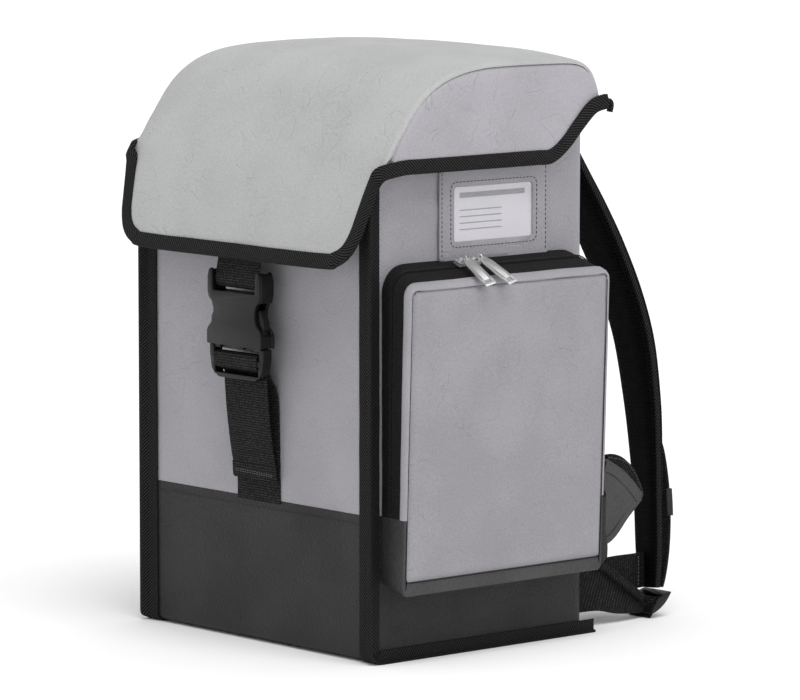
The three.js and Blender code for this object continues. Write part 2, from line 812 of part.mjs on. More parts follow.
function makeZipCoil() {
  const from = COIL_PLACE - coilShare / 2;
  const stationsAt = (share) => upperStations(share, pocketSplit + COIL_END);
  return pocketStrip(stationsAt, from, from + coilShare, -GAP - COIL_HEIGHT, -GAP, true);
}

function makePocketRim() {
  return pocketStrip((share) => upperStations(share, pocketSplit), tapeShare, panelShare, 0, CLOTH, true);
}

// Black base of the pocket with the lip under its front panel
function makePocketBase() {
  const from = BASE_HEIGHT;
  const low = lowerStations(0, from);
  const high = lowerStations(1, from);
  const turns = inward(low, false);
  const rings = low.map((unused, i) => {
    const [y0, z0] = low[i];
    const [y1, z1] = high[i];
    const [ty, tz] = turns[i];
    const side = Math.abs(ty) > 0.9;
    const lip = side ? LEATHER * 1.2 : POCKET_LIP * Math.max(tz, 0.2);
    const share = side ? panelShare : 1;
    const end = pocketOut(z1, share);
    const start = pocketOut(z0, 0);
    const inset = LEATHER;
    return [
      V(start, y0, z0),
      V(end, y1, z1),
      V(end, y1 + ty * lip, z1 + tz * lip),
      V(end - inset, y1 + ty * lip, z1 + tz * lip),
      V(end - inset, y1 + ty * inset, z1 + tz * inset),
      V(start, y0 + ty * inset, z0 + tz * inset),
    ];
  });
  return loft(rings);
}

// Front panel of the pocket, a shallow cushion of cloth
function makePocketPanel() {
  const { start, end, high, round } = pocketEdges(1);
  const low = pocketEdges(1).low + POCKET_LIP + GAP;
  const corner = round * 0.5;
  const steps = 4;
  const outline = [
    ...arc(end - corner, low + corner, corner, -90, 0, steps),
    ...arc(end - round, high - round, round, 0, 90, steps),
    ...arc(start + round, high - round, round, 90, 180, steps),
    ...arc(start + corner, low + corner, corner, 180, 270, steps),
  ];
  const middle = [mix(start, end, 0.5), mix(low, high, 0.5)];
  const ring = (scale, lift) => outline.map(([y, z]) => {
    const py = mix(middle[0], y, scale);
    const pz = mix(middle[1], z, scale);
    return V(pocketOut(pz, 1) + lift, py, pz);
  });
  const puff = [
    { scale: 0.12, lift: 1.00 },
    { scale: 0.45, lift: 0.90 },
    { scale: 0.72, lift: 0.66 },
    { scale: 0.90, lift: 0.38 },
    { scale: 0.98, lift: 0.15 },
    { scale: 1.00, lift: 0.00 },
  ];
  const outer = puff.map((row) => ring(row.scale, row.lift * POCKET_PUFF));
  const inner = puff.map((row) => ring(row.scale * 0.985, row.lift * POCKET_PUFF - CLOTH));
  return loft([...outer, ...inner.reverse()]);
}

// Slope of the pocket's top, in degrees below level going outward
const topSlope = THREE.MathUtils.radToDeg(Math.atan2(POCKET_TOP_DROP, POCKET_DEEP));

function makeSlider() {
  const half = SLIDER_LENGTH / 2;
  const wide = SLIDER_WIDTH / 2;
  const outline = [[-half, -wide], [half, -wide * 0.6], [half, wide * 0.6], [-half, wide]];
  const shape = new THREE.Shape(outline.map(([y, x]) => new THREE.Vector2(x, y)));
  const body = new THREE.ExtrudeGeometry(shape, { depth: SLIDER_HEIGHT * 0.55, bevelEnabled: false });
  const hoop = box(V(-wide * 0.9, -HOOP_WIDTH / 2, 0), V(wide * 0.9, HOOP_WIDTH / 2, SLIDER_HEIGHT));
  const eye = box(
    V(-wide * 0.55, -HOOP_EYE / 2, SLIDER_HEIGHT * 0.55),
    V(wide * 0.55, HOOP_EYE / 2, SLIDER_HEIGHT * 0.8));
  return cut(join(body, hoop), eye);
}

// A flat pull lying outward from its slider, with a slot near its end
function makePull() {
  const half = PULL_WIDTH / 2;
  const round = PULL_ROUND;
  const outline = [
    ...arc(PULL_LENGTH - round, -half + round, round, -90, 0, 3),
    ...arc(PULL_LENGTH - round, half - round, round, 0, 90, 3),
    [PULL_LENGTH * 0.2, half],
    [0, half * 0.62],
    [0, -half * 0.62],
    [PULL_LENGTH * 0.2, -half],
  ];
  const shape = new THREE.Shape(outline.map(([x, y]) => new THREE.Vector2(x, y)));
  const plate = new THREE.ExtrudeGeometry(shape, { depth: PULL_THICK, bevelEnabled: false });
  const farHole = box(
    V(PULL_LENGTH - PULL_EDGE - PULL_HOLE, -half * 0.5, -PAST),
    V(PULL_LENGTH - PULL_EDGE, half * 0.5, PULL_THICK + PAST));
  return cut(plate, farHole);
}

// Front strap, top length: from under the flap, round the bar of the socket and back up
const buckleFace = FRONT - BUCKLE_OUT;
const buckleMiddle = buckleFace + BUCKLE_THICK * 0.5;
const socketLow = BUCKLE_BOTTOM + PLUG_LENGTH;
const socketHigh = socketLow + SOCKET_LENGTH;
const plugBack = buckleMiddle + BUCKLE_THICK * 0.31;
const barHeight = socketHigh + ARM_LENGTH * 0.4;

function makeStrapTop() {
  const reach = BAR / 2 + GAP + WEBBING / 2;
  const turn = arc(buckleMiddle, barHeight, reach, 180, 360, 8);
  const under = CLOTH + 1.5 * GAP + WEBBING / 2;
  const flapLow = HEM_HEIGHT - FLAP_DROP + HEM_WIDTH / 2;
  const path = [
    [FRONT - flapOut(STRAP_TOP) + under, STRAP_TOP],
    [FRONT - flapOut(flapLow) + under + TAPE, flapLow],
    [Math.max(FRONT - FLAP_LOW_OUT + under + TAPE, buckleMiddle - reach), flapLow - HEM_WIDTH],
    [buckleMiddle - reach, barHeight + ARM_LENGTH * 0.6],
    ...turn,
    [buckleMiddle + reach, barHeight + ARM_LENGTH * 0.5],
  ];
  return ribbon(path, WEBBING, STRAP_WIDTH, 0);
}

function makeSocket() {
  const half = BUCKLE_WIDTH / 2;
  const waist = half * 0.78;
  const shoulder = half * 0.94;
  const mouth = STRAP_WIDTH / 2 + 2 * GAP;
  const outline = [
    [-half, socketLow],
    [half, socketLow],
    [half, socketLow + SOCKET_LENGTH * 0.28],
    [waist, socketLow + SOCKET_LENGTH * 0.48],
    [waist, socketLow + SOCKET_LENGTH * 0.78],
    [shoulder, socketHigh],
    [shoulder, socketHigh + ARM_LENGTH * 0.8],
    [mouth, socketHigh + ARM_LENGTH],
    [mouth, socketHigh],
    [-mouth, socketHigh],
    [-mouth, socketHigh + ARM_LENGTH],
    [-shoulder, socketHigh + ARM_LENGTH * 0.8],
    [-shoulder, socketHigh],
    [-waist, socketLow + SOCKET_LENGTH * 0.78],
    [-waist, socketLow + SOCKET_LENGTH * 0.48],
    [-half, socketLow + SOCKET_LENGTH * 0.28],
  ];
  const body = frontPlate(outline, buckleFace, buckleFace + BUCKLE_THICK);
  const bar = new THREE.CylinderGeometry(BAR / 2, BAR / 2, 2 * mouth + PAST, 10);
  bar.rotateZ(Math.PI / 2).translate(0, buckleMiddle, barHeight);
  const wall = BUCKLE_THICK * 0.2;
  const cavity = box(
    V(-half * 0.86, buckleFace + wall, socketLow - PAST),
    V(half * 0.86, buckleFace + BUCKLE_THICK - wall, socketLow + SOCKET_LENGTH * 0.8));
  return cut(join(body, bar), cavity);
}

function makePlug() {
  const half = BUCKLE_WIDTH / 2;
  const top = socketLow - GAP;
  const thick = 2 * (plugBack - buckleMiddle);
  const near = plugBack - thick;
  const outline = [
    [-half * 0.72, BUCKLE_BOTTOM],
    [half * 0.72, BUCKLE_BOTTOM],
    [half * 0.94, BUCKLE_BOTTOM + PLUG_LENGTH * 0.3],
    [half, BUCKLE_BOTTOM + PLUG_LENGTH * 0.75],
    [half, top],
    [-half, top],
    [-half, BUCKLE_BOTTOM + PLUG_LENGTH * 0.75],
    [-half * 0.94, BUCKLE_BOTTOM + PLUG_LENGTH * 0.3],
  ];
  const frame = frontPlate(outline, near, near + thick);
  const mouth = STRAP_WIDTH / 2 + 2 * GAP;
  const deep = BUCKLE_THICK;
  const slots = PLUG_SLOTS.map(({ from, to }) => box(
    V(-mouth, near - deep, BUCKLE_BOTTOM + PLUG_LENGTH * from),
    V(mouth, near + deep, BUCKLE_BOTTOM + PLUG_LENGTH * to)));
  const fingerOut = half * 0.86 - 2 * GAP;
  const fingerThick = BUCKLE_THICK * 0.6 - 2 * GAP;
  const fingers = [-1, 1].map((hand) => {
    const inner = fingerOut * 0.7;
    const tip = socketLow + SOCKET_LENGTH * 0.72;
    const low = V(Math.min(hand * inner, hand * fingerOut), buckleMiddle - fingerThick / 2, top - INTO);
    const high = V(Math.max(hand * inner, hand * fingerOut), buckleMiddle + fingerThick / 2, tip);
    return box(low, high);
  });
  const tongue = box(
    V(-half * 0.25, buckleMiddle - fingerThick / 2, top - INTO),
    V(half * 0.25, buckleMiddle + fingerThick / 2, socketLow + SOCKET_LENGTH * 0.6));
  return cut(join(frame, ...fingers, tongue), ...slots);
}

// Front strap, lower lengths: one sewn under the base's top edge, its tail turned down in front of it
function makeStrapAnchor() {
  const onPanel = FRONT + BODY_INSET - GAP - WEBBING / 2;
  const behind = plugBack + 2 * GAP + 1.5 * WEBBING;
  const path = [
    [onPanel, BASE_HEIGHT + 2 * GAP],
    [onPanel, mix(BASE_HEIGHT, BUCKLE_BOTTOM, 0.6)],
    [mix(onPanel, behind, 0.25), mix(BASE_HEIGHT, BUCKLE_BOTTOM, 0.85)],
    [mix(onPanel, behind, 0.8), BUCKLE_BOTTOM + PLUG_LENGTH * 0.15],
    [behind, BUCKLE_BOTTOM + PLUG_LENGTH * 0.5],
    [behind, BUCKLE_BOTTOM + PLUG_LENGTH * 0.66],
    [plugBack, BUCKLE_BOTTOM + PLUG_LENGTH * SLOT_PLACE],
    [buckleMiddle + GAP / 2, BUCKLE_BOTTOM + PLUG_LENGTH * SLOT_PLACE],
  ];
  return ribbon(path, WEBBING, STRAP_WIDTH, 0);
}

function makeStrapTail() {
  const onAnchor = FRONT + BODY_INSET - 2 * GAP - 1.5 * WEBBING;
  const near = 2 * buckleMiddle - plugBack - GAP - WEBBING / 2;
  const behind = plugBack + GAP + WEBBING / 2;
  const path = [
    [buckleMiddle - GAP / 2, BUCKLE_BOTTOM + PLUG_LENGTH * SLOT_PLACE],
    [near + WEBBING, BUCKLE_BOTTOM + PLUG_LENGTH * SLOT_PLACE],
    [near, BUCKLE_BOTTOM + PLUG_LENGTH * 0.68],
    [near, BUCKLE_BOTTOM + PLUG_LENGTH * 0.46],
    [near + WEBBING / 2, BUCKLE_BOTTOM + PLUG_LENGTH * 0.37],
    [behind - WEBBING / 2, BUCKLE_BOTTOM + PLUG_LENGTH * 0.2],
    [behind, BUCKLE_BOTTOM + PLUG_LENGTH * 0.1],
    [behind, BUCKLE_BOTTOM - BAR],
    [mix(onAnchor, behind, 0.4), mix(STRAP_END, BUCKLE_BOTTOM, 0.72)],
    [onAnchor, mix(STRAP_END, BUCKLE_BOTTOM, 0.4)],
    [onAnchor, STRAP_END + HEM_FOLD],
    [onAnchor, STRAP_END],
  ];
  return ribbon(path, WEBBING, STRAP_WIDTH, 0);
}

// Shoulder strap stations, as a curve with its own width and thickness directions
const padHeight = PAD_TOP - PAD_LOW;
const padStart = PAD_STATIONS[0].thick * PAD_THICK * 0.5 + GAP - BODY_INSET;

function padFrames(hand) {
  const rows = PAD_STATIONS.map((row) => ({
    ...row,
    point: V(
      hand * mix(PAD_X_TOP, PAD_X_LOW, row.outward),
      BACK + padStart + row.reach * PAD_REACH,
      PAD_LOW + row.height * padHeight),
  }));
  return rows.map((row, i) => {
    const before = rows[Math.max(i - 1, 0)].point;
    const after = rows[Math.min(i + 1, rows.length - 1)].point;
    const along = after.clone().sub(before).normalize();
    const turn = radians(PAD_TWIST * row.twist);
    const width = V(hand * Math.cos(turn), Math.sin(turn), 0);
    width.addScaledVector(along, -width.dot(along)).normalize();
    const away = width.clone().cross(along).multiplyScalar(hand).normalize();
    return { ...row, along, across: width, away };
  });
}

function makePad(hand) {
  const section = arc(0, 0, 1, 0, 360 - 360 / PAD_SIDES, PAD_SIDES - 1);
  const rings = padFrames(hand).map(({ point, across, away, width, thick }) => section.map(([a, b]) => {
    const wide = Math.sign(a) * Math.abs(a) ** 0.5 * 0.5 * PAD_WIDTH * width;
    const deep = Math.sign(b) * Math.abs(b) ** 0.6 * 0.5 * PAD_THICK * thick;
    return point.clone().addScaledVector(across, wide).addScaledVector(away, deep);
  }));
  return loft(rings);
}

// Webbing tail lying on the outer face of the strap's lower part
function tailStations(hand) {
  const frames = padFrames(hand).filter((row) => row.height < TAIL_TOP + 0.05);
  return frames.map((row) => {
    const sign = row.away.y > 0 ? 1 : -1;
    const lift = row.thick * PAD_THICK * 0.5 + GAP * 2 + WEBBING * 0.5;
    return { ...row, away: row.away.clone().multiplyScalar(sign), lift };
  });
}

function makeTail(hand) {
  const rings = tailStations(hand).map(({ point, across, away, lift }) => {
    const middle = point.clone().addScaledVector(away, lift);
    const corners = [[-1, -1], [1, -1], [1, 1], [-1, 1]];
    return corners.map(([a, b]) => middle.clone()
      .addScaledVector(across, (a * TAIL_WIDTH) / 2)
      .addScaledVector(away, (b * WEBBING) / 2));
  });
  return loft(rings);
}

function makeKeeper(hand) {
  const stations = tailStations(hand);
  const at = stations[Math.min(1, stations.length - 1)];
  const middle = at.point.clone().addScaledVector(at.away, at.lift + WEBBING + GAP);
  const half = KEEPER_HEIGHT / 2;
  const wide = TAIL_WIDTH / 2 + KEEPER_SIDE;
  const ring = (offset) => [[-1, -1], [1, -1], [1, 1], [-1, 1]].map(([a, b]) => middle.clone()
    .addScaledVector(at.along, offset)
    .addScaledVector(at.across, a * wide)
    .addScaledVector(at.away, (b * WEBBING) / 2));
  return loft([ring(-half), ring(half)]);
}

// Ladder lock at the strap's lower end
const lastPad = PAD_STATIONS[PAD_STATIONS.length - 1];
const padEnd = { x: PAD_X_LOW, y: BACK + padStart + lastPad.reach * PAD_REACH };

function makeLock() {
  const half = LOCK_LENGTH / 2;
  const wide = LOCK_WIDTH / 2;
  const round = LOCK_ROUND;
  const outline = [
    ...arc(half - round, -wide + round, round, -90, 0, 3),
    ...arc(half - round, wide - round, round, 0, 90, 3),
    ...arc(-half + round, wide - round, round, 90, 180, 3),
    ...arc(-half + round, -wide + round, round, 180, 270, 3),
  ];
  const shape = new THREE.Shape(outline.map(([y, x]) => new THREE.Vector2(x, y)));
  const plate = new THREE.ExtrudeGeometry(shape, { depth: LOCK_THICK, bevelEnabled: false });
  const slots = LOCK_SLOTS.map(({ from, to }) => box(
    V(-wide * 0.78, half * from, -PAST), V(wide * 0.78, half * to, LOCK_THICK + PAST)));
  return cut(plate, ...slots);
}

// Lower webbing, from the back corner of the base to the lock
function makeLowerWebbing(hand) {
  const x = hand * (PAD_X_LOW + PAD_WIDTH * 0.16);
  const stations = [
    { share: 0.00, height: 1.00, wide: 1.00 },
    { share: 0.35, height: 0.97, wide: 1.00 },
    { share: 0.70, height: 0.66, wide: 0.75 },
    { share: 1.00, height: 0.36, wide: 0.42 },
  ];
  const end = padEnd.y - LOCK_LENGTH / 2 - LOCK_CLEAR;
  const rings = stations.map(({ share, height, wide }) => {
    const y = mix(BACK + GAP, end, share);
    const z = LOWER_HEIGHT * height;
    const half = (LOWER_WIDTH / 2) * wide;
    const near = x - WEBBING / 2;
    const far = x + WEBBING / 2;
    return [V(near, y, z - half), V(far, y, z - half), V(far, y, z + half), V(near, y, z + half)];
  });
  return loft(rings);
}

// Lug sewn to the strap's lower end
function makeLug(hand) {
  const x = PAD_X_LOW - PAD_WIDTH * 0.05;
  const ends = padFrames(hand).slice(-2).map(({ point, across, thick }) => {
    const slope = across.y / Math.abs(across.x);
    return point.y + (x - Math.abs(point.x)) * slope - (thick * PAD_THICK * 0.5) / Math.abs(across.x);
  });
  const far = Math.min(...ends) - 2 * GAP;
  const near = hand * x - WEBBING / 2;
  return box(V(near, far - LUG_LENGTH, PAD_LOW), V(near + WEBBING, far, PAD_LOW + LUG_WIDTH));
}

// Hip wing: a sewn triangle of leatherette at the back edge, and the webbing folded over its point
function makeWing(hand) {
  const outline = [
    [BACK + GAP, WING_LOW],
    [BACK + WING_REACH - WING_BLUNT, WING_TIP - WING_BLUNT],
    [BACK + WING_REACH, WING_TIP],
    [BACK + WING_REACH - WING_BLUNT, WING_TIP + WING_BLUNT],
    [BACK + GAP, WING_HIGH],
  ];
  const x = hand * (SIDE - BACK_CORNER - WING_THICK * 0.5);
  const ring = (at) => outline.map(([y, z]) => V(at, y, z));
  return loft([ring(x - (hand * WING_THICK) / 2), ring(x + (hand * WING_THICK) / 2)]);
}

function makeWingWebbing(hand) {
  const x = hand * (SIDE - BACK_CORNER - WING_THICK - GAP - WEBBING);
  const outline = [
    [BACK + WING_REACH * 0.42, mix(WING_HIGH, WING_TIP, 0.5) + WING_TURN],
    [BACK + WING_REACH * 0.75, mix(WING_HIGH, WING_TIP, 0.5) + WING_TURN],
    [BACK + WING_REACH * 0.98, WING_TIP],
    [BACK + WING_REACH * 0.98 - WING_WEBBING, WING_TIP],
  ];
  const ring = (at) => outline.map(([y, z]) => V(at, y, z));
  return loft([ring(x), ring(x + hand * WEBBING)]);
}

// Assembly
function piece(name, geometry, finish) {
  const [color, roughness, metalness] = FINISH[finish];
  const mesh = new THREE.Mesh(geometry, new THREE.MeshStandardMaterial({ color, roughness, metalness }));
  mesh.name = name;
  return mesh;
}

const backpack = new THREE.Group();
backpack.name = "backpack";

const body = new THREE.Group();
body.add(piece("body_shell", makeBodyShell(), "grey"));
body.add(piece("base_tray", makeBaseTray(), "blackLeather"));

const lid = new THREE.Group();
lid.add(piece("lid_crown", makeLidCrown(), "lidGrey"));
lid.add(piece("lid_binding", makeLidBinding(), "blackTape"));

const windowGroup = new THREE.Group();
windowGroup.add(piece("id_patch", makePatch(), "grey"));
windowGroup.add(piece("id_card", makeCard(), "card"));
windowGroup.add(piece("id_window", makeWindow(), "clear"));

const pocket = new THREE.Group();
pocket.add(piece("pocket_zip_tape", makeZipTape(), "blackTape"));
pocket.add(piece("pocket_zip_coil", makeZipCoil(), "blackPlastic"));
pocket.add(piece("pocket_rim", makePocketRim(), "grey"));
pocket.add(piece("pocket_base", makePocketBase(), "blackLeather"));
pocket.add(piece("pocket_panel", makePocketPanel(), "grey"));

const coilOut = COIL_PLACE * POCKET_DEEP;
for (const number of [1, 2]) {
  const zipper = new THREE.Group();
  const down = COIL_PLACE * POCKET_TOP_DROP;
  const lift = (GAP * 3 + COIL_HEIGHT) / Math.cos(radians(topSlope));
  zipper.position.set(
    SIDE + GAP + coilOut,
    FRONT + SLIDER_FIRST + (number - 1) * SLIDER_STEP,
    POCKET_BOTTOM + POCKET_HEIGHT - down + lift);
  zipper.rotation.y = radians(topSlope);
  zipper.add(piece(`zip_slider_${number}`, makeSlider(), "metal"));
  const pull = piece(`zip_pull_${number}`, makePull(), "metal");
  pull.position.set(SLIDER_WIDTH * 0.5, 0, SLIDER_HEIGHT + GAP);
  pull.rotation.set(0, radians(PULL_DROOP), radians(PULL_TURNS[number - 1]), "ZYX");
  zipper.add(pull);
  pocket.add(zipper);
}

const frontStrap = new THREE.Group();
frontStrap.add(piece("front_strap_top", makeStrapTop(), "blackWeb"));
frontStrap.add(piece("buckle_socket", makeSocket(), "blackPlastic"));
frontStrap.add(piece("buckle_plug", makePlug(), "blackPlastic"));
frontStrap.add(piece("front_strap_anchor", makeStrapAnchor(), "blackWeb"));
frontStrap.add(piece("front_strap_tail", makeStrapTail(), "blackWeb"));

const harness = new THREE.Group();
for (const [side, hand] of [["left", -1], ["right", 1]]) {
  body.add(piece(`corner_binding_${side}`, makeCornerBinding(hand), "blackTape"));
  lid.add(piece(`lid_cheek_${side}`, makeLidCheek(hand), "lidGrey"));
  harness.add(piece(`strap_pad_${side}`, makePad(hand), "mesh"));
  harness.add(piece(`strap_tail_${side}`, makeTail(hand), "blackWeb"));
  harness.add(piece(`strap_keeper_${side}`, makeKeeper(hand), "blackWeb"));
  const lock = piece(`ladder_lock_${side}`, makeLock(), "blackPlastic");
  lock.rotation.x = radians(LOCK_TILT);
  lock.position.set(hand * padEnd.x, padEnd.y, (LOCK_LENGTH / 2) * Math.sin(radians(LOCK_TILT)) + GAP);
  harness.add(lock);
  harness.add(piece(`lower_webbing_${side}`, makeLowerWebbing(hand), "blackWeb"));
  harness.add(piece(`strap_lug_${side}`, makeLug(hand), "blackWeb"));
  harness.add(piece(`hip_wing_${side}`, makeWing(hand), "blackLeather"));
  harness.add(piece(`hip_webbing_${side}`, makeWingWebbing(hand), "blackWeb"));
}

backpack.add(body, lid, windowGroup, pocket, frontStrap, harness);

export default backpack;
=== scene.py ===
"""A square backpack of coated cloth on a pale floor. Sizes are in millimetres until a mesh is made."""
import math

import bmesh
import bpy
from mathutils import Matrix, Vector, noise


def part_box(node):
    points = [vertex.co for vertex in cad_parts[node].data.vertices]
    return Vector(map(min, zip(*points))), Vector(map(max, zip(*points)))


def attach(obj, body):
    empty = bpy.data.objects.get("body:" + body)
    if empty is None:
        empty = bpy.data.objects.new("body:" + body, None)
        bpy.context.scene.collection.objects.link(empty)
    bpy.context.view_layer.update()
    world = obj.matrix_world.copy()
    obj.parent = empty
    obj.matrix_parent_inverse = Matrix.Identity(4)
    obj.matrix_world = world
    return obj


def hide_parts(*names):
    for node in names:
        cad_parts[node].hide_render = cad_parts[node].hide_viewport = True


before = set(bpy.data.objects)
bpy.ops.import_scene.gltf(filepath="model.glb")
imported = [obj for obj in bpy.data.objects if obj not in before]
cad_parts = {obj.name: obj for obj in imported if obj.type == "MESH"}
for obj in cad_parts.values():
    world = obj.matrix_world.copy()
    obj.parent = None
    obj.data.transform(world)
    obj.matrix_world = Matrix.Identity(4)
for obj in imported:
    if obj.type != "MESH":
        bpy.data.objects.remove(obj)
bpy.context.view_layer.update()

MM = 0.001
STRIP = "strip"
BODY = "root"
BEVEL_STEPS = 3
BEVEL_FROM = 30

# Thicknesses, and the small space between a face and what lies on it
CLOTH = 2.0
TAPE = 1.3
WEBBING = 1.6
GAP = 0.3

# Stitches: length, gap, radius and, for slanting ones, slant
BASE_STITCH = (2.6, 1.2, 0.28)
PATCH_STITCH = (2.5, 1.3, 0.30)
TAIL_STITCH = (2.2, 0.8, 0.35, 0.25)
LUG_STITCH = (2.4, 0.9, 0.40)
WING_STITCH = (2.2, 1.0, 0.30)

# Unevenness: height, size and seed
PANEL_BROAD = (0.9, 90, 1.0)
PANEL_SMALL = (0.35, 38, 2.0)
BAND_BROAD = (0.7, 55, 4.0)
BAND_SMALL = (0.25, 24, 5.0)
BAND_FOLD = (0.25, 7, 6.0)
BINDING_EDGE = (0.35, 30, 8.0)
LID_BROAD = (0.9, 75, 3.0)
LID_SMALL = (0.35, 30, 9.0)
CHEEK_BROAD = (0.9, 30, 11.0)
CHEEK_SMALL = (0.4, 13, 12.0)
HEM_EDGE = (0.3, 26, 14.0)
HEM_SWELL = (0.35, 17, 15.0)
PATCH_WAVE = (0.25, 16, 17.0)
GUSSET_WAVE = (0.35, 34, 19.0)
POCKET_LOW_WAVE = (0.8, 30, 21.0)
LIP_BOW = (0.5, 22, 23.0)
POCKET_BROAD = (1.1, 60, 25.0)
POCKET_SMALL = (0.4, 24, 26.0)
POCKET_PULLS = (1.5, 40, 27.0)
BACK_FOLD_EDGE = (0.4, 24, 28.0)
PAD_SWELL = (0.5, 45, 35.0)
WING_WAVE = (0.35, 16, 40.0)

# Edges of the front webbing: height and size. Each length has a seed of its own.
WEB_EDGE = (0.25, 6)

# Lid
HEM_WIDTH = 12.0
HEM_DROP = 41.0
HEM_COVER = 3.0
HEM_LIFT = 42.0
HEM_END = 4.0
HEM_TURN = 0.09
HEM_RISE_START = 0.732
HEM_TAB = 9.0
LID_LEAN = 4.0
LID_RISE = 77.0
LID_CROWN = 7.0
SEAM_ROLL = 3.5
FLAP_DROP = 75.0
FLAP_TOP_OUT = 4.0
FLAP_LOW_OUT = 26.0

# Bindings on the front edges
FRONT_LEG = 12.0
SIDE_LEG = 8.5
FIN = 6.5
FIN_WIDTH = 3.0
FIN_FADE = 28.0
FIN_LEAN = 45.0
FIN_LAYS = 1.6
FLANGE_END = 8.0
EDGE_BEND = 6.0
BEND_NOTCH = 1.5
PICOT = 2.0
PICOT_DEPTH = 0.28

# Body and base
RIM_DROP = 11.0
RIM_UNDER_HEM = 4.0
FOOT_INSET = 18
TRAY_INSET = 1.8
BASE_FOLD = 9.0
STIFF_BORDER = 14

# Side pocket
POCKET_START = 12.0
POCKET_LENGTH = 215.0
POCKET_BOTTOM = 63.0
POCKET_HEIGHT = 257.0
POCKET_DEEP = 38.5
POCKET_SHALLOW = 30.0
POCKET_FRONT_SHIFT = 4.0
POCKET_BACK_SHIFT = 3.0
POCKET_TOP_DROP = 15.0
POCKET_LOW_DROP = 6.0
POCKET_LIP = 12.0
POCKET_ROUND = 22.0
PANEL_ROUND = 7.0
PANEL_PUFF = 4.5
RIM_STRIP = 7.5
RIM_ROLL = 2.4
COIL_PLACE = 0.34
BACK_FOLD_TOP = 262.0

# Zip pulls
PULL_TURNS = (-5, 9)
PULL_ROLL = 18
PULL_LENGTH = 37.6
PULL_HALF = 4.75
PULL_THICK = 1.3

# Front strap and buckle
BUCKLE_HALF = 34.5
BUCKLE_DROP = 16.0
BUCKLE_OUT = 27.0
BUCKLE_SHIFT = 3.0
BUCKLE_THICK = 15.0
SOCKET_LENGTH = 44.0
ARM_LENGTH = 18.0
PLUG_LENGTH = 27.0
SLOT_PLACE = 0.76
BAR = 5.0
STRAP_WIDTH = 54.0
STRAP_END = 136.0
HEM_FOLD = 12.0

# Shoulder straps
PAD_WIDTH = 60.0
PAD_THICK = 17.0
PAD_REACH = 101.0
PAD_TWIST = -26.0
PAD_X_TOP = 75.0
PAD_X_LOW = 118.0
PAD_LOW = 24.0
PAD_DROP = 2.0
TAIL_HALF = 12.5
TAIL_BULGE = 7.0
LOCK_TILT = 36
LOCK_WIDE = 16.0
LOCK_HALF = 14.0
LOCK_THICK = 4.6

# Upper and lower edges of a hip wing: reach behind the back panel, and height
WING_TOP = [(0, 148), (38, 139), (46, 134), (77, 106), (79, 104)]
WING_LOW = [(0, 62), (40, 70), (60, 88), (77, 103), (79, 104)]

# Light: the way towards each lamp, its spread and its strength
KEY_LIGHT = ((0.42, -0.14, 0.92), 40, 1.5)
RIM_LIGHT = ((0.90, 0.20, 0.35), 30, 0.15)
WORLD_LIGHT = 0.735
FLOOR_SIZE = 60

# Camera, worked out from the bag's straight edges
CAMERA_PLACE = (3.36679, -2.89978, 0.76899)
CAMERA_TILT = 83.1
CAMERA_TURN = 48.9
CAMERA_LENS = 243.05
CAMERA_SENSOR = 36.0

# Side view of the lid: share of the depth from the front, and share of the rise over the hem
LID_PROFILE = [
    (0.021, 0.10), (0.074, 0.36), (0.162, 0.68), (0.251, 0.865), (0.345, 0.965), (0.434, 1.01),
    (0.523, 1.025), (0.711, 1.025), (0.877, 1.005), (0.949, 0.91), (0.981, 0.77), (0.996, 0.64),
]

# Edge of the flap: share of the lid's half width, and share of the flap's drop
FLAP_EDGE = [
    (1.010, 0.06), (0.975, 0.17), (0.960, 0.31), (0.940, 0.52), (0.920, 0.71), (0.880, 0.87),
    (0.810, 0.965), (0.700, 1.00),
]

# Shoulder strap, as shares: height, reach behind the bag, width, thickness, way outward, twist
PAD_STATIONS = [
    (1.000, 0.000, 1.00, 0.45, 0.00, 0.0),
    (0.966, 0.020, 1.00, 0.60, 0.03, 0.0),
    (0.880, 0.215, 1.08, 0.90, 0.10, 0.3),
    (0.788, 0.450, 1.12, 1.00, 0.20, 0.5),
    (0.700, 0.640, 1.12, 1.05, 0.29, 0.55),
    (0.600, 0.810, 1.10, 1.05, 0.40, 0.6),
    (0.500, 0.925, 1.06, 1.05, 0.50, 0.65),
    (0.380, 0.970, 1.04, 1.00, 0.62, 0.75),
    (0.290, 0.975, 1.00, 0.90, 0.71, 0.85),
    (0.170, 0.960, 0.90, 0.75, 0.83, 0.9),
    (0.060, 0.930, 0.75, 0.65, 0.94, 0.8),
    (0.000, 0.915, 0.60, 0.50, 1.00, 0.8),
]


def vec(x, y, z):
    return Vector((x, y, z))


UP = vec(0, 0, 1)
DOWN = vec(0, 0, -1)
ACROSS = vec(1, 0, 0)


def mix(a, b, t):
    return a + (b - a) * t


def clamp(value, low=0.0, high=1.0):
    return max(low, min(high, value))


def smooth(t):
    t = clamp(t)
    return t * t * (3 - 2 * t)


def mirror(p):
    return vec(-p.x, p.y, p.z)


def node_box(name):
    """Lowest and highest corners of a CAD node, in millimetres."""
    low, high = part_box(name)
    return low / MM, high / MM


def read_table(rows, at):
    """Value at a key in a list of (key, value) pairs, straight between them and level past the ends."""
    rows = sorted(rows)
    if at <= rows[0][0]:
        return rows[0][1]
    for (k0, v0), (k1, v1) in zip(rows, rows[1:]):
        if at <= k1:
            return mix(v0, v1, (at - k0) / max(k1 - k0, 1e-9))
    return rows[-1][1]


def ripple(point, height, size, seed):
    """Smooth seeded unevenness up to a height, at a stated wavelength."""
    return height * noise.noise(point / size + vec(seed, 3 * seed, 7 * seed))


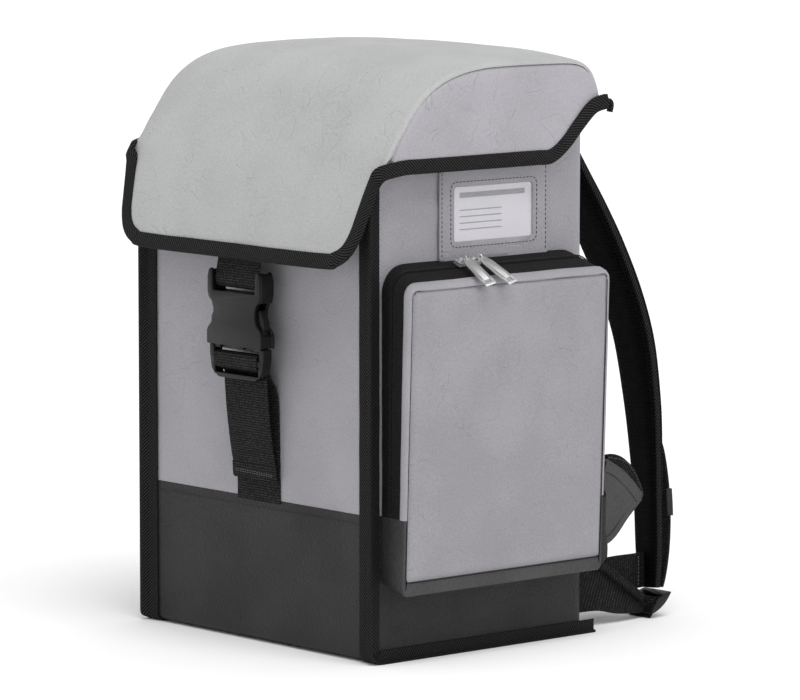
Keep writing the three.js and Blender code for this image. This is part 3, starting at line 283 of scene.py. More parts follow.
# Lines
def spline(points, step, rounds=8):
    """A smooth line through points, resampled at about one step."""
    fine = []
    for i in range(len(points) - 1):
        p0 = points[max(i - 1, 0)]
        p1, p2 = points[i], points[i + 1]
        p3 = points[min(i + 2, len(points) - 1)]
        for k in range(rounds):
            t = k / rounds
            fine.append(0.5 * (2 * p1 + (p2 - p0) * t + (2 * p0 - 5 * p1 + 4 * p2 - p3) * t ** 2
                               + (3 * p1 - p0 - 3 * p2 + p3) * t ** 3))
    fine.append(points[-1])
    return resample(fine, step)


def lengths_along(points):
    """Length walked at each point. Points may carry more than three numbers."""
    lengths = [0.0]
    for a, b in zip(points, points[1:]):
        lengths.append(lengths[-1] + (Vector(b[:3]) - Vector(a[:3])).length)
    return lengths


def even(points, count):
    """The same line in a stated number of equal steps."""
    lengths = lengths_along(points)
    result, k = [], 0
    for i in range(count + 1):
        at = lengths[-1] * i / count
        while k < len(points) - 2 and lengths[k + 1] < at:
            k += 1
        t = (at - lengths[k]) / max(lengths[k + 1] - lengths[k], 1e-9)
        result.append(points[k] + (points[k + 1] - points[k]) * clamp(t))
    return result


def even_ring(ring, count):
    """The same closed ring with a stated number of points, starting at the same place."""
    return ring if len(ring) == count else even(ring + ring[:1], count)[:-1]


def resample(points, step):
    return even(points, max(int(round(lengths_along(points)[-1] / step)), 1))


def tangents(path):
    last = len(path) - 1
    return [(path[min(i + 1, last)] - path[max(i - 1, 0)]).normalized() for i in range(len(path))]


# Flat outlines
def arc(a, b, radius, start, end, steps):
    angles = [math.radians(mix(start, end, i / steps)) for i in range(steps + 1)]
    return [(a + radius * math.cos(t), b + radius * math.sin(t)) for t in angles]


def disc(radius, count):
    """A closed round outline with a stated number of points."""
    return arc(0, 0, radius, 0, 360 * (count - 1) / count, count - 1)


def round_section(outline, radius, steps=3):
    """A closed flat outline with its corners rounded. radius is one number or one for each corner."""
    result = []
    count = len(outline)
    for i, corner in enumerate(outline):
        r = radius[i] if isinstance(radius, (list, tuple)) else radius
        here = Vector(corner)
        before = Vector(outline[i - 1]) - here
        after = Vector(outline[(i + 1) % count]) - here
        r = min(r, before.length * 0.45, after.length * 0.45)
        if r <= 0.01:
            result.append(tuple(here))
            continue
        a = here + before.normalized() * r
        b = here + after.normalized() * r
        for k in range(steps + 1):
            t = k / steps
            result.append(tuple((1 - t) ** 2 * a + 2 * t * (1 - t) * here + t * t * b))
    return result


def flat_section(half, thick, radius):
    """Section of a flat strip, from its half width, half thickness and corner radius."""
    return round_section([(-half, -thick), (half, -thick), (half, thick), (-half, thick)], radius)


def box_outline(y0, y1, z0, z1, r):
    """A rectangle with round corners."""
    return [*arc(y1 - r, z0 + r, r, -90, 0, 5), *arc(y1 - r, z1 - r, r, 0, 90, 5),
            *arc(y0 + r, z1 - r, r, 90, 180, 5), *arc(y0 + r, z0 + r, r, 180, 270, 5)]


def grown_outline(low, high, more, r):
    """A rectangle round a CAD box as seen from the side, larger by a stated amount."""
    return box_outline(low.y - more, high.y + more, low.z - more, high.z + more, r)


def closest_on(outline, p):
    """The point of a closed outline that lies nearest to p, both in the YZ plane."""
    best, least = None, None
    for (y0, z0), (y1, z1) in zip(outline, outline[1:] + outline[:1]):
        a, b = vec(0, y0, z0), vec(0, y1, z1)
        t = clamp((p - a).dot(b - a) / max((b - a).length_squared, 1e-9))
        q = a.lerp(b, t)
        if least is None or (q - p).length < least:
            best, least = q, (q - p).length
    return best


def set_out(centre, side, out, outline):
    """A flat outline set out round a centre, along two directions."""
    return [centre + side * a + out * b for a, b in outline]


class Shape:
    """Points in millimetres, faces, and for each face corner its place along and across a strip."""

    def __init__(self):
        self.points = []
        self.faces = []
        self.strip = []

    def rings(self, rings, closed=True, caps=True):
        start = len(self.points)
        count = len(rings[0])
        along = [0.0]
        for a, b in zip(rings, rings[1:]):
            along.append(along[-1] + (sum(b, vec(0, 0, 0)) - sum(a, vec(0, 0, 0))).length / count)
        across = [0.0]
        middle = rings[len(rings) // 2]
        for j in range(count):
            across.append(across[-1] + (middle[(j + 1) % count] - middle[j]).length)
        for ring in rings:
            self.points.extend(ring)
        for i in range(len(rings) - 1):
            for j in range(count if closed else count - 1):
                a = start + i * count + j
                b = start + i * count + (j + 1) % count
                self.faces.append((a, b, b + count, a + count))
                self.strip += [(along[i], across[j]), (along[i], across[j + 1]),
                               (along[i + 1], across[j + 1]), (along[i + 1], across[j])]
        if caps and closed:
            last = start + (len(rings) - 1) * count
            self.face([start + j for j in reversed(range(count))], (along[0], across[1]))
            self.face([last + j for j in range(count)], (along[-1], across[1]))
        return self

    def face(self, members, place):
        self.faces.append(tuple(members))
        self.strip += [place] * len(members)

    def sweep(self, path, across, section, caps=True):
        """A closed section carried along a path. section may be a function of the step."""
        rings = []
        for i, (point, ahead) in enumerate(zip(path, tangents(path))):
            side = (across - ahead * across.dot(ahead)).normalized()
            outline = section(i) if callable(section) else section
            rings.append(set_out(point, side, side.cross(ahead), outline))
        return self.rings(rings, True, caps)

    def prism(self, outline, near, far):
        """An outline in the XZ plane between two depths along Y."""
        return self.rings([[vec(x, y, z) for x, z in outline] for y in (near, far)])

    def box(self, low, high):
        (x0, y0, z0), (x1, y1, z1) = low, high
        return self.prism([(x0, z0), (x1, z0), (x1, z1), (x0, z1)], y0, y1)

    def shifted(self, across):
        """Moves every point along X."""
        self.points = [p + ACROSS * across for p in self.points]
        return self

    def mirrored(self):
        other = Shape()
        other.points = [mirror(p) for p in self.points]
        other.faces = self.faces
        other.strip = self.strip
        return other


def piece(name, shape, material, slot, replaces=(), sharp=40, bevel=0.0, fill=None):
    """Makes the mesh, in metres, and ties it to the frame."""
    mesh = bpy.data.meshes.new(name)
    mesh.from_pydata([p * MM for p in shape.points], [], shape.faces)
    strip = mesh.attributes.new(STRIP, "FLOAT_VECTOR", "CORNER")
    strip.data.foreach_set("vector", [v for u, w in shape.strip for v in (u, w, 0.0)])
    work = bmesh.new()
    work.from_mesh(mesh)
    bmesh.ops.recalc_face_normals(work, faces=work.faces)
    work.to_mesh(mesh)
    work.free()
    obj = bpy.data.objects.new(name, mesh)
    bpy.context.scene.collection.objects.link(obj)
    if bevel:
        modifier = obj.modifiers.new("bevel", "BEVEL")
        modifier.width = bevel * MM
        modifier.segments = BEVEL_STEPS
        modifier.limit_method = "ANGLE"
        modifier.angle_limit = math.radians(BEVEL_FROM)
        graph = bpy.context.evaluated_depsgraph_get()
        obj.data = bpy.data.meshes.new_from_object(obj.evaluated_get(graph))
        obj.modifiers.clear()
    obj.data.materials.clear()
    obj.data.materials.append(material)
    obj.data.shade_smooth()
    obj.data.set_sharp_from_angle(angle=math.radians(sharp))
    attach(obj, BODY)
    if replaces:
        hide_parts(*replaces)


def both_sides(*rows):
    """Pieces on the right, then their mirror images on the left.

    A row holds a name, a shape, a material, a slot (which is not used), a CAD node's name without its side,
    and settings.
    """
    for side in ("right", "left"):
        for name, shape, material, slot, node, settings in rows:
            piece(f"{name}_{side}", shape if side == "right" else shape.mirrored(), material, slot,
                  [f"{node}_{side}"] if node else (), **settings)


def stitches(shape, path, across, length, gap, radius, slant=0.0):
    """Short raised threads along a line, each one pointed at both ends."""
    line = resample(path, length + gap)
    for start, end in zip(line, line[1:]):
        ahead = (end - start).normalized()
        side = (across - ahead * across.dot(ahead)).normalized()
        ahead = (ahead + side * slant).normalized()
        out = side.cross(ahead)
        middle = (start + end) / 2
        shape.rings([set_out(middle + ahead * length * share, side, out, disc(radius * thick, 6))
                     for share, thick in ((-0.5, 0.35), (-0.3, 1.0), (0.3, 1.0), (0.5, 0.35))])
    return shape


class Surface:
    """A material and its nodes, with coordinates in millimetres."""

    def __init__(self, name, **shader):
        self.material = bpy.data.materials.new(name)
        self.material.use_nodes = True
        self.tree = self.material.node_tree
        self.shader = self.tree.nodes["Principled BSDF"]
        for key, value in shader.items():
            self.shader.inputs[key.replace("_", " ")].default_value = value

    def node(self, kind, inputs=None, **settings):
        made = self.tree.nodes.new(kind)
        for key, value in settings.items():
            setattr(made, key, value)
        for key, value in (inputs or {}).items():
            self.put(made.inputs[key], value)
        return made

    def put(self, socket, value):
        if isinstance(value, bpy.types.NodeSocket):
            self.tree.links.new(value, socket)
        else:
            socket.default_value = value

    def math(self, operation, a, b=0.0):
        return self.node("ShaderNodeMath", {0: a, 1: b, 2: 0.0}, operation=operation).outputs[0]

    def times(self, a, b):
        return self.math("MULTIPLY", a, b)

    def plus(self, a, b):
        return self.math("ADD", a, b)

    def minus(self, a, b):
        return self.math("SUBTRACT", a, b)

    def wave(self, value, pitch):
        """Sine wave with a stated length."""
        return self.math("SINE", self.times(value, 2 * math.pi / pitch))

    def place(self, stretch=1.0):
        """Place on the object in millimetres. A texture is drawn out along Y where stretch is under 1."""
        coordinate = self.node("ShaderNodeTexCoord").outputs["Object"]
        scale = (1 / MM, stretch / MM, 1 / MM)
        return self.node("ShaderNodeMapping", {"Vector": coordinate, "Scale": scale}).outputs[0]

    def strip(self):
        """Place along and across a strip in millimetres, as one vector and as two numbers."""
        place = self.node("ShaderNodeAttribute", attribute_name=STRIP).outputs["Vector"]
        parts = self.node("ShaderNodeSeparateXYZ", {0: place}).outputs
        return place, parts[0], parts[1]

    def noise(self, place, size, detail=2.0, rough=0.5, warp=0.0):
        inputs = {"Vector": place, "Scale": 1 / size, "Detail": detail, "Roughness": rough,
                  "Distortion": warp}
        return self.node("ShaderNodeTexNoise", inputs).outputs["Fac"]

    def cells(self, place, size, random=1.0):
        inputs = {"Vector": place, "Scale": 1 / size, "Randomness": random}
        return self.node("ShaderNodeTexVoronoi", inputs, feature="F1").outputs["Distance"]

    def ramp(self, value, low, high, to_low=0.0, to_high=1.0):
        inputs = {0: value, 1: low, 2: high, 3: to_low, 4: to_high}
        return self.node("ShaderNodeMapRange", inputs, interpolation_type="SMOOTHSTEP").outputs[0]

    def colour(self, share, dark, light):
        """Base colour between two colours."""
        made = self.node("ShaderNodeMix", data_type="RGBA")
        for index, value in ((0, share), (6, dark), (7, light)):
            self.put(made.inputs[index], value)
        self.put(self.shader.inputs["Base Color"], made.outputs[2])

    def rough(self, value, low, high, smoothest, roughest):
        self.put(self.shader.inputs["Roughness"], self.ramp(value, low, high, smoothest, roughest))

    def relief(self, height):
        """Bump whose height is in millimetres."""
        made = self.node("ShaderNodeBump", {"Strength": 1.0, "Distance": MM, "Height": height})
        self.tree.links.new(made.outputs[0], self.shader.inputs["Normal"])


def grey(value, tint=(1.0, 1.0, 1.0)):
    return (value * tint[0], value * tint[1], value * tint[2], 1.0)


# Creases of coated cloth: size of their field, thickness of the lines, and where they start to show
CREASES = [(34, 0.028, 0.46), (15, 0.042, 0.50)]
CREASE_SHADE = 0.10


def coated_cloth(name, light, dark, grain, crease, roughness, gloss=0.4):
    """Coated cloth with a fine grain, thin curved creases and faint blotches."""
    s = Surface(name, Specular_IOR_Level=gloss)
    place = s.place()
    pebble = s.noise(place, 1.7, 3.0, 0.6)
    cell = s.cells(place, 1.5)
    lines = None
    for size, thin, low in CREASES:
        field = s.noise(place, size, 1.0, 0.4, 0.4)
        line = s.ramp(s.math("ABSOLUTE", s.minus(field, 0.5)), 0.0, thin, 1.0, 0.0)
        line = s.times(line, s.ramp(s.noise(place, size * 1.9), low, low + 0.16))
        lines = line if lines is None else s.math("MAXIMUM", lines, line)
    height = s.plus(s.times(pebble, grain), s.times(cell, grain * 0.35))
    s.relief(s.minus(height, s.times(lines, crease)))
    blotch = s.ramp(s.noise(place, 70, 2.0), 0.25, 0.75)
    speck = s.ramp(pebble, 0.3, 0.7, -0.5, 0.5)
    s.colour(s.minus(s.plus(blotch, speck), s.times(lines, CREASE_SHADE)), dark, light)
    s.rough(pebble, 0.2, 0.8, roughness - 0.06, roughness + 0.08)
    return s.material


def twill(name, dark, light, pitch, lean, depth):
    """Tape woven in slanting ridges, with a rough thread."""
    s = Surface(name, Roughness=0.85, Specular_IOR_Level=0.15)
    u, v = s.strip()[1:]
    ridge = s.ramp(s.wave(s.plus(u, s.times(v, lean)), pitch), -0.4, 1.0)
    thread = s.noise(s.place(), 0.8, 2.0, 0.7)
    s.relief(s.plus(s.times(ridge, depth), s.times(thread, depth * 0.7)))
    s.colour(s.times(ridge, s.ramp(thread, 0.3, 0.7, 0.35, 1.0)), dark, light)
    return s.material


def woven(name, dark, light, rib, depth, cross_share=0.6, lean=0.0):
    """Webbing with short raised threads in rows."""
    s = Surface(name, Roughness=0.8, Specular_IOR_Level=0.15)
    place, u, v = s.strip()
    wobble = s.times(s.noise(place, 2.6, 2.0), 2.4)
    rows = s.wave(s.plus(s.plus(u, wobble), s.times(v, lean)), rib)
    ridge = s.ramp(s.plus(rows, s.times(s.wave(v, rib * 0.9), cross_share)), -1.0, 1.2)
    thread = s.noise(s.place(), 1.3, 3.0, 0.7)
    s.relief(s.plus(s.times(ridge, depth), s.times(thread, depth)))
    s.colour(s.times(ridge, s.ramp(thread, 0.38, 0.62, 0.10, 1.0)), dark, light)
    return s.material


def spacer_mesh(name, dark, light):
    """Open mesh cloth with round holes in staggered rows."""
    s = Surface(name, Roughness=0.85, Specular_IOR_Level=0.06)
    web = s.ramp(s.cells(s.strip()[0], 3.2, random=0.2), 0.25, 0.5)
    thread = s.noise(s.place(), 0.9, 2.0, 0.7)
    s.relief(s.plus(s.times(web, 0.7), s.times(thread, 0.15)))
    s.colour(s.times(web, s.ramp(thread, 0.3, 0.7, 0.4, 1.0)), dark, light)
    return s.material


def fine_grained(name, field, depth, dark, light, gloss=None, tone=None, stretch=1.0, **shader):
    """A surface with one fine noise for its relief. Its tone and gloss follow that noise or a broader one."""
    s = Surface(name, **shader)
    place = s.place(stretch)
    fine = s.noise(place, *field)
    shade = s.noise(place, *tone) if tone else fine
    s.relief(s.times(fine, depth))
    s.colour(shade, dark, light)
    if gloss:
        s.rough(shade, 0.3, 0.7, *gloss)
    return s.material


def card_stock(name):
    """Smooth white card, a little uneven in tone."""
    s = Surface(name, Specular_IOR_Level=0.4)
    place = s.place()
    fibre = s.noise(place, 0.6, 3.0, 0.7)
    s.relief(s.times(fibre, 0.02))
    s.colour(s.noise(place, 30), (0.61, 0.585, 0.635, 1.0), (0.69, 0.67, 0.715, 1.0))
    s.rough(fibre, 0.3, 0.7, 0.45, 0.6)
    return s.material


def moulded(name, shade, roughness, grain):
    """Moulded plastic with a fine satin texture."""
    return fine_grained(name, (0.8, 2.0, 0.6), grain, grey(shade), grey(shade * 1.35),
                        (roughness - 0.05, roughness + 0.07), (9.0, 2.0), Specular_IOR_Level=0.27)


def thread_of(name, dark, light):
    """Sewing thread. The card's printed lines have the same surface."""
    return fine_grained(name, (0.35, 2.0, 0.7), 0.06, dark, light, Roughness=0.7, Specular_IOR_Level=0.3)


VIOLET = (1.0, 0.970, 1.045)
GREEN = (0.985, 1.0, 0.995)
BODY_CLOTH = coated_cloth("body_cloth", grey(0.346, VIOLET), grey(0.298, VIOLET), 0.58, 0.28, 0.55)
POCKET_CLOTH = coated_cloth("pocket_cloth", grey(0.322, VIOLET), grey(0.276, VIOLET), 0.64, 0.33, 0.55)
LID_SIDE_CLOTH = coated_cloth("lid_side_cloth", grey(0.402, VIOLET), grey(0.350, VIOLET), 0.58, 0.40, 0.55)
LID_CLOTH = coated_cloth("lid_cloth", grey(0.458, GREEN), grey(0.405, GREEN), 0.64, 0.36, 0.52)
BASE_LEATHER = coated_cloth("base_leather", grey(0.020), grey(0.008), 0.85, 0.24, 0.47, 0.31)
POCKET_LEATHER = coated_cloth("pocket_leather", grey(0.050), grey(0.028), 0.50, 0.14, 0.48, 0.45)
BINDING = twill("binding_tape", grey(0.0025), grey(0.050), 2.9, 1.0, 0.50)
WEB = woven("webbing", grey(0.002), grey(0.050), 2.1, 0.50)
COARSE_WEB = woven("coarse_webbing", grey(0.003), grey(0.036), 3.4, 0.70, 0.1, 0.5)
MESH = spacer_mesh("pad_mesh", grey(0.001), grey(0.007))
ZIP_TAPE = woven("zip_tape", grey(0.005), grey(0.024), 1.2, 0.15)
PLASTIC = moulded("buckle_plastic", 0.005, 0.33, 0.07)
COIL = moulded("zip_coil", 0.010, 0.35, 0.02)
METAL = fine_grained("zip_metal", (0.5, 3.0, 0.7), 0.015, grey(0.62), grey(0.82, (1.0, 0.99, 0.97)),
                     (0.30, 0.44), stretch=0.15, Metallic=1.0)
CARD = card_stock("card_stock")
VINYL = fine_grained("clear_sheet", (18, 2.0), 0.5, (0.86, 0.87, 0.90, 1.0), (0.95, 0.95, 0.97, 1.0),
                     (0.08, 0.16), Alpha=0.16, Specular_IOR_Level=0.6)
BLACK_THREAD = thread_of("black_thread", grey(0.004), grey(0.020))
GREY_THREAD = thread_of("grey_thread", grey(0.06), grey(0.16))
CARD_INK = thread_of("card_ink", grey(0.16, VIOLET), grey(0.21, VIOLET))


# Places read off the frame
tray_high = node_box("base_tray")[1]
shell_high = node_box("body_shell")[1]
SIDE = tray_high.x
BACK = tray_high.y
FRONT = -tray_high.y
DEPTH = BACK - FRONT
BASE_HEIGHT = tray_high.z
PLINTH = GAP + TAPE
BODY_TOP = shell_high.z
INSET = SIDE - shell_high.x
LID_HALF = node_box("lid_crown")[1].x
LID_SIDE = LID_HALF + LID_LEAN
HEM_HEIGHT = BODY_TOP - HEM_DROP


# Lid lines
def lid_profile(step):
    points = [vec(0, FRONT + back * DEPTH, HEM_HEIGHT + rise * LID_RISE) for back, rise in LID_PROFILE]
    return spline(points, step)


PROFILE_ROWS = [(p.y, p.z) for p in lid_profile(4.0)]


def flap_out(z):
    return mix(FLAP_TOP_OUT, FLAP_LOW_OUT, (HEM_HEIGHT - z) / FLAP_DROP)


def hem_height(y):
    start = FRONT + HEM_RISE_START * DEPTH
    return HEM_HEIGHT + HEM_LIFT * smooth((y - start) / (BACK - start))


def rim_height(y):
    lid = read_table(PROFILE_ROWS, min(y, FRONT + 0.7 * DEPTH))
    hem = HEM_HEIGHT + (y - FRONT) * 0.5
    return min(BODY_TOP, lid - RIM_DROP, hem - RIM_UNDER_HEM)


def hem_line(step):
    """The hem's middle line from the back of the right cheek round the flap, with the way it faces."""
    turn = FRONT + HEM_TURN * DEPTH
    sides = 14
    right = [(vec(LID_SIDE, y, hem_height(y)), ACROSS)
             for y in (mix(BACK + HEM_END, turn, i / sides) for i in range(sides + 1))]
    corner_drop = FLAP_EDGE[0][1] * FLAP_DROP
    corner = vec(LID_SIDE, FRONT + HEM_TURN / 3 * DEPTH, HEM_HEIGHT - corner_drop / 3)
    right.append((corner, vec(1, -0.4, 0.1)))
    lean = (FLAP_LOW_OUT - FLAP_TOP_OUT) / FLAP_DROP
    for row, (across, drop) in enumerate(FLAP_EDGE):
        z = HEM_HEIGHT - drop * FLAP_DROP
        right.append((vec(across * LID_HALF, FRONT - flap_out(z), z), vec(0 if row else 0.6, -1, lean)))
    left = [(mirror(p), mirror(n)) for p, n in reversed(right)]
    lowest = right[-1][0]
    rows = right + [(vec(0, lowest.y - 1.0, lowest.z), vec(0, -1, lean))] + left
    joined = spline([Vector((*p, *n)) for p, n in rows], step)
    return [(Vector(r[:3]), Vector(r[3:])) for r in joined]


def hem_frames(step):
    """Places along the hem, each with the way it faces and the way off the cloth's edge."""
    rows = hem_line(step)
    frames = []
    for (point, facing), along in zip(rows, tangents([row[0] for row in rows])):
        normal = (facing - along * facing.dot(along)).normalized()
        frames.append((point, normal, normal.cross(along)))
    return frames


HEM = hem_frames(3.0)
HALF_HEM = HEM[:len(HEM) // 2 + 1]
CLOTH_REACH = HEM_WIDTH / 2 - HEM_COVER
FLAP_CLOTH = [(q.z, q.x) for q in (p - away * CLOTH_REACH for p, n, away in HALF_HEM if p.y < FRONT)]
CHEEK_CLOTH = [(q.y, q.z) for q in (p - away * CLOTH_REACH for p, n, away in HALF_HEM if p.y > FRONT)]
FLAP_BOTTOM = min(z for z, x in FLAP_CLOTH)


# Body
def plan_ring(inset, height, step=6.0):
    """Points round the body at a height, which may be a function of y."""
    half = SIDE - inset
    front, back = FRONT + inset, BACK - inset
    small, large = max(3.0 - inset / 2, 1.0), max(12.0 - inset / 2, 2.0)
    outline = [
        *arc(half - small, front + small, small, -90, 0, 4),
        *arc(half - large, back - large, large, 0, 90, 6),
        *arc(-half + large, back - large, large, 90, 180, 6),
        *arc(-half + small, front + small, small, 180, 270, 4),
    ]
    result = []
    for (x0, y0), (x1, y1) in zip(outline, outline[1:] + outline[:1]):
        count = max(int(math.hypot(x1 - x0, y1 - y0) / step), 1)
        for k in range(count):
            x, y = mix(x0, x1, k / count), mix(y0, y1, k / count)
            result.append(vec(x, y, height(y) if callable(height) else height))
    return result


def panel_wave(p):
    """How far a soft panel bulges or dips: level at its edges, uneven between them."""
    up = smooth((p.z - BASE_HEIGHT) / 30) * smooth((BODY_TOP + 10 - p.z) / 60)
    from_edge = BACK - abs(p.y) if abs(p.x) > SIDE - 5 else SIDE - abs(p.x)
    wave = ripple(vec(p.x, p.y, p.z * 0.6), *PANEL_BROAD) + ripple(p, *PANEL_SMALL)
    return up * smooth((from_edge - STIFF_BORDER) / 40) * (wave + 0.5)


def pull_folds(p):
    """Soft folds on the side panel that fan out from its top front corner."""
    dy, dz = p.y - FRONT, rim_height(FRONT) - p.z
    reach = math.hypot(dy - 8, dz - 8)
    angle = math.atan2(dz, dy + 4)
    fade = smooth(reach / 20) * smooth((110 - reach) / 70) * smooth((dy - 10) / 12)
    return 0.8 * fade * math.sin(angle * 15 + 0.6)


def make_body():
    """The grey box: an outer skin, its top edge and an inner skin, on the foot inside the base."""
    foot = PLINTH + CLOTH + GAP
    split = BASE_HEIGHT - 1.0
    low, inner = foot + EDGE_BEND, TRAY_INSET + CLOTH
    rings = [plan_ring(TRAY_INSET, low), plan_ring(TRAY_INSET, split), plan_ring(INSET, split + 0.8)]
    rows = 56
    for i in range(1, rows + 1):
        ring = plan_ring(INSET, lambda y: mix(split + 0.8, rim_height(y), i / rows))
        for p in ring:
            lift = panel_wave(p)
            if abs(p.y) < BACK - 6 and abs(p.x) > SIDE - 5:
                p.x += math.copysign(lift + pull_folds(p), p.x)
            elif abs(p.x) < SIDE - 6:
                p.y += math.copysign(lift, p.y)
        rings.append(ring)
    inner_top = plan_ring(INSET + CLOTH, rim_height)
    rings.append([a.lerp(b, 0.5) + UP * 0.6 for a, b in zip(rings[-1], inner_top)])
    rings += [inner_top, plan_ring(INSET + CLOTH, split), plan_ring(inner, split - 1),
              plan_ring(inner, low), plan_ring(inner + 3, foot + CLOTH)]
    shape = Shape().rings([even_ring(r, len(rings[0])) for r in rings])
    piece("panel_cloth", shape, BODY_CLOTH, "body_cloth", ["body_shell"])


def make_base():
    """The black band round the foot, turned under at the front and back, and its folded top edge."""
    rings = [plan_ring(FOOT_INSET, 0.0), plan_ring(FOOT_INSET, PLINTH * 0.9)]
    for x, y in arc(0, 0, 1, 0, 90, 6):
        inset = EDGE_BEND * (1 - y)
        rings.append([vec(p.x, clamp(p.y, FRONT + inset, BACK - inset), p.z)
                      for p in plan_ring(0.0, PLINTH + EDGE_BEND * (1 - x))])
    rows = 18
    for i in range(1, rows + 1):
        z = mix(PLINTH + EDGE_BEND, BASE_HEIGHT, i / rows)
        ring = plan_ring(0.0, z)
        for p in ring:
            fade = smooth((z - 10) / 20) * smooth((BASE_HEIGHT - z) / 12)
            wave = fade * (ripple(p, *BAND_BROAD) + ripple(p, *BAND_SMALL))
            if abs(p.x) < SIDE - STIFF_BORDER:
                p.y += math.copysign(wave, p.y)
            elif abs(p.y) < BACK - STIFF_BORDER:
                p.x += math.copysign(wave, p.x)
        rings.append(ring)
    rings += [plan_ring(1.5, BASE_HEIGHT), plan_ring(1.5, PLINTH + CLOTH + 4)]
    fixed = max(len(r) for r in rings)
    shape = Shape().rings([even_ring(r, fixed) for r in rings])
    piece("base_leather_band", shape, BASE_LEATHER, "base_leather", ["base_tray"])
    half = BASE_FOLD / 2
    section = round_section([(-half, 0.0), (half, 0.0), (half, 1.6), (-half, 1.3)], 0.6)
    reach = SIDE - FRONT_LEG + 1.0
    path = [vec(mix(reach, -reach, i / 60), FRONT + GAP - ripple(vec(i, 0, 0), *BAND_FOLD),
                BASE_HEIGHT - half + 0.5) for i in range(61)]
    piece("base_top_fold", Shape().sweep(path, DOWN, section), BASE_LEATHER, "base_leather")
    line = [vec(x, FRONT - 1.35, BASE_HEIGHT - BASE_FOLD + 2.2) for x in (reach, -reach)]
    piece("base_top_stitches", stitches(Shape(), line, DOWN, *BASE_STITCH), BLACK_THREAD, "base_leather")


def picot(walked):
    """The small loops along the edge of a tape."""
    return PICOT_DEPTH * math.sin(2 * math.pi * walked / PICOT)


def make_corner_bindings():
    """Tape folded over a front edge: down the edge, round the lower front corner and back along the base."""
    top = rim_height(FRONT) - GAP
    step = 0.7
    path = [(FRONT, z, 0.0) for z in (top, EDGE_BEND + PLINTH + 1)]
    path += [(FRONT + EDGE_BEND * (1 - x), PLINTH + EDGE_BEND * (1 - y), 90 * i / 8)
             for i, (x, y) in enumerate(arc(0, 0, 1, 0, 90, 8))]
    path.append((BACK + FLANGE_END, PLINTH, 90.0))
    near = GAP + TAPE
    rings = []
    for i, (x, y, z, turn) in enumerate(resample([Vector((0.0, *row)) for row in path], step)):
        angle, share = math.radians(turn), turn / 90
        past = y - (BACK + FLANGE_END - FIN)
        ending = math.sqrt(max(1 - (past / FIN) ** 2, 0.02)) if past > 0 else 1.0
        fade = clamp((top - z) / FIN_FADE, 0.2, 1.0)
        fin = FIN * fade * ending
        lean = math.radians(mix(FIN_LEAN, 0, smooth(share * FIN_LAYS)))
        width = FIN_WIDTH * max(fade, 0.5) * mix(1.0, 0.42, share)
        du, dv = math.cos(lean), math.sin(lean)
        uneven = picot(i * step) + ripple(vec(i * step, 0, 0), *BINDING_EDGE)
        leg = -FRONT_LEG - uneven
        beyond = max(z - PLINTH - EDGE_BEND, y - FRONT - EDGE_BEND, 0.0)
        side_leg = -min(SIDE_LEG, EDGE_BEND - BEND_NOTCH + beyond) + uneven
        tip = width * (1 - share) * 0.5
        section = [
            (leg, GAP), (GAP, GAP), (GAP, side_leg), (near, side_leg), (near + 0.1, near - width),
            (near + fin * du, near - width + fin * dv),
            (near + (fin + tip) * du - tip * 0.3, near - width * 0.5 + (fin + tip) * dv),
            (near - width + (fin + width * share) * du, near + fin * dv),
            (near - width, near + 0.1), (leg, near),
        ]
        outline = round_section(section, [0.3, 0, 0.3, 0.5, 0.2, 1.0, 1.0, 1.0, 0.2, 0.5], 2)
        rings.append([vec(SIDE + u, y - v * math.cos(angle), max(z - v * math.sin(angle), 0.0))
                      for u, v in outline])
    both_sides(("edge_tape", Shape().rings(rings), BINDING, "binding_tape", "corner_binding", {"sharp": 50}))


# Lid
def relax(line, rounds, low, high):
    """Takes the bends out of a line between two heights at the front."""
    ends = (0, len(line) - 1)
    for _ in range(rounds):
        line = [p if i in ends or not low < p.z < high or p.y > 0 else
                p.lerp((line[i - 1] + line[i + 1]) / 2, 0.7) for i, p in enumerate(line)]
    return line


def make_lid():
    """One sheet from the back over the top and down as the front flap."""
    cheek_top = HEM_HEIGHT + HEM_WIDTH / 2
    over = [vec(0, BACK, BODY_TOP + 0.3)] + [p for p in reversed(lid_profile(4.0)) if p.y > FRONT + 6]
    stops = 22
    heights = [mix(over[-1].z - 5, FLAP_BOTTOM, i / stops) for i in range(stops + 1)]
    path = over + [vec(0, FRONT - flap_out(z), z) for z in heights if z < cheek_top]
    path = relax(resample(path, 3.5), 60, FLAP_BOTTOM + 14, HEM_HEIGHT + 40)
    rings = []
    for p, along, walked in zip(path, tangents(path), lengths_along(path)):
        in_front = p.y < 0
        half = LID_HALF
        if in_front and p.z <= cheek_top:
            half = mix(LID_HALF, read_table(FLAP_CLOTH, p.z), smooth((cheek_top - p.z) / 12))
        height = clamp((p.z - FLAP_BOTTOM) / (LID_RISE + FLAP_DROP))
        fade = min(height ** 1.5 / 0.9, smooth(walked / (0.2 * DEPTH)))
        roll = mix(SEAM_ROLL, 0.4, smooth((cheek_top + 6 - p.z) / 10)) if in_front else SEAM_ROLL
        rings.append(crown_ring(p, vec(0, along.z, -along.y), half, fade, roll))
    piece("crown_cloth", Shape().rings(rings), LID_CLOTH, "lid_cloth", ["lid_crown"], fill=0.35)


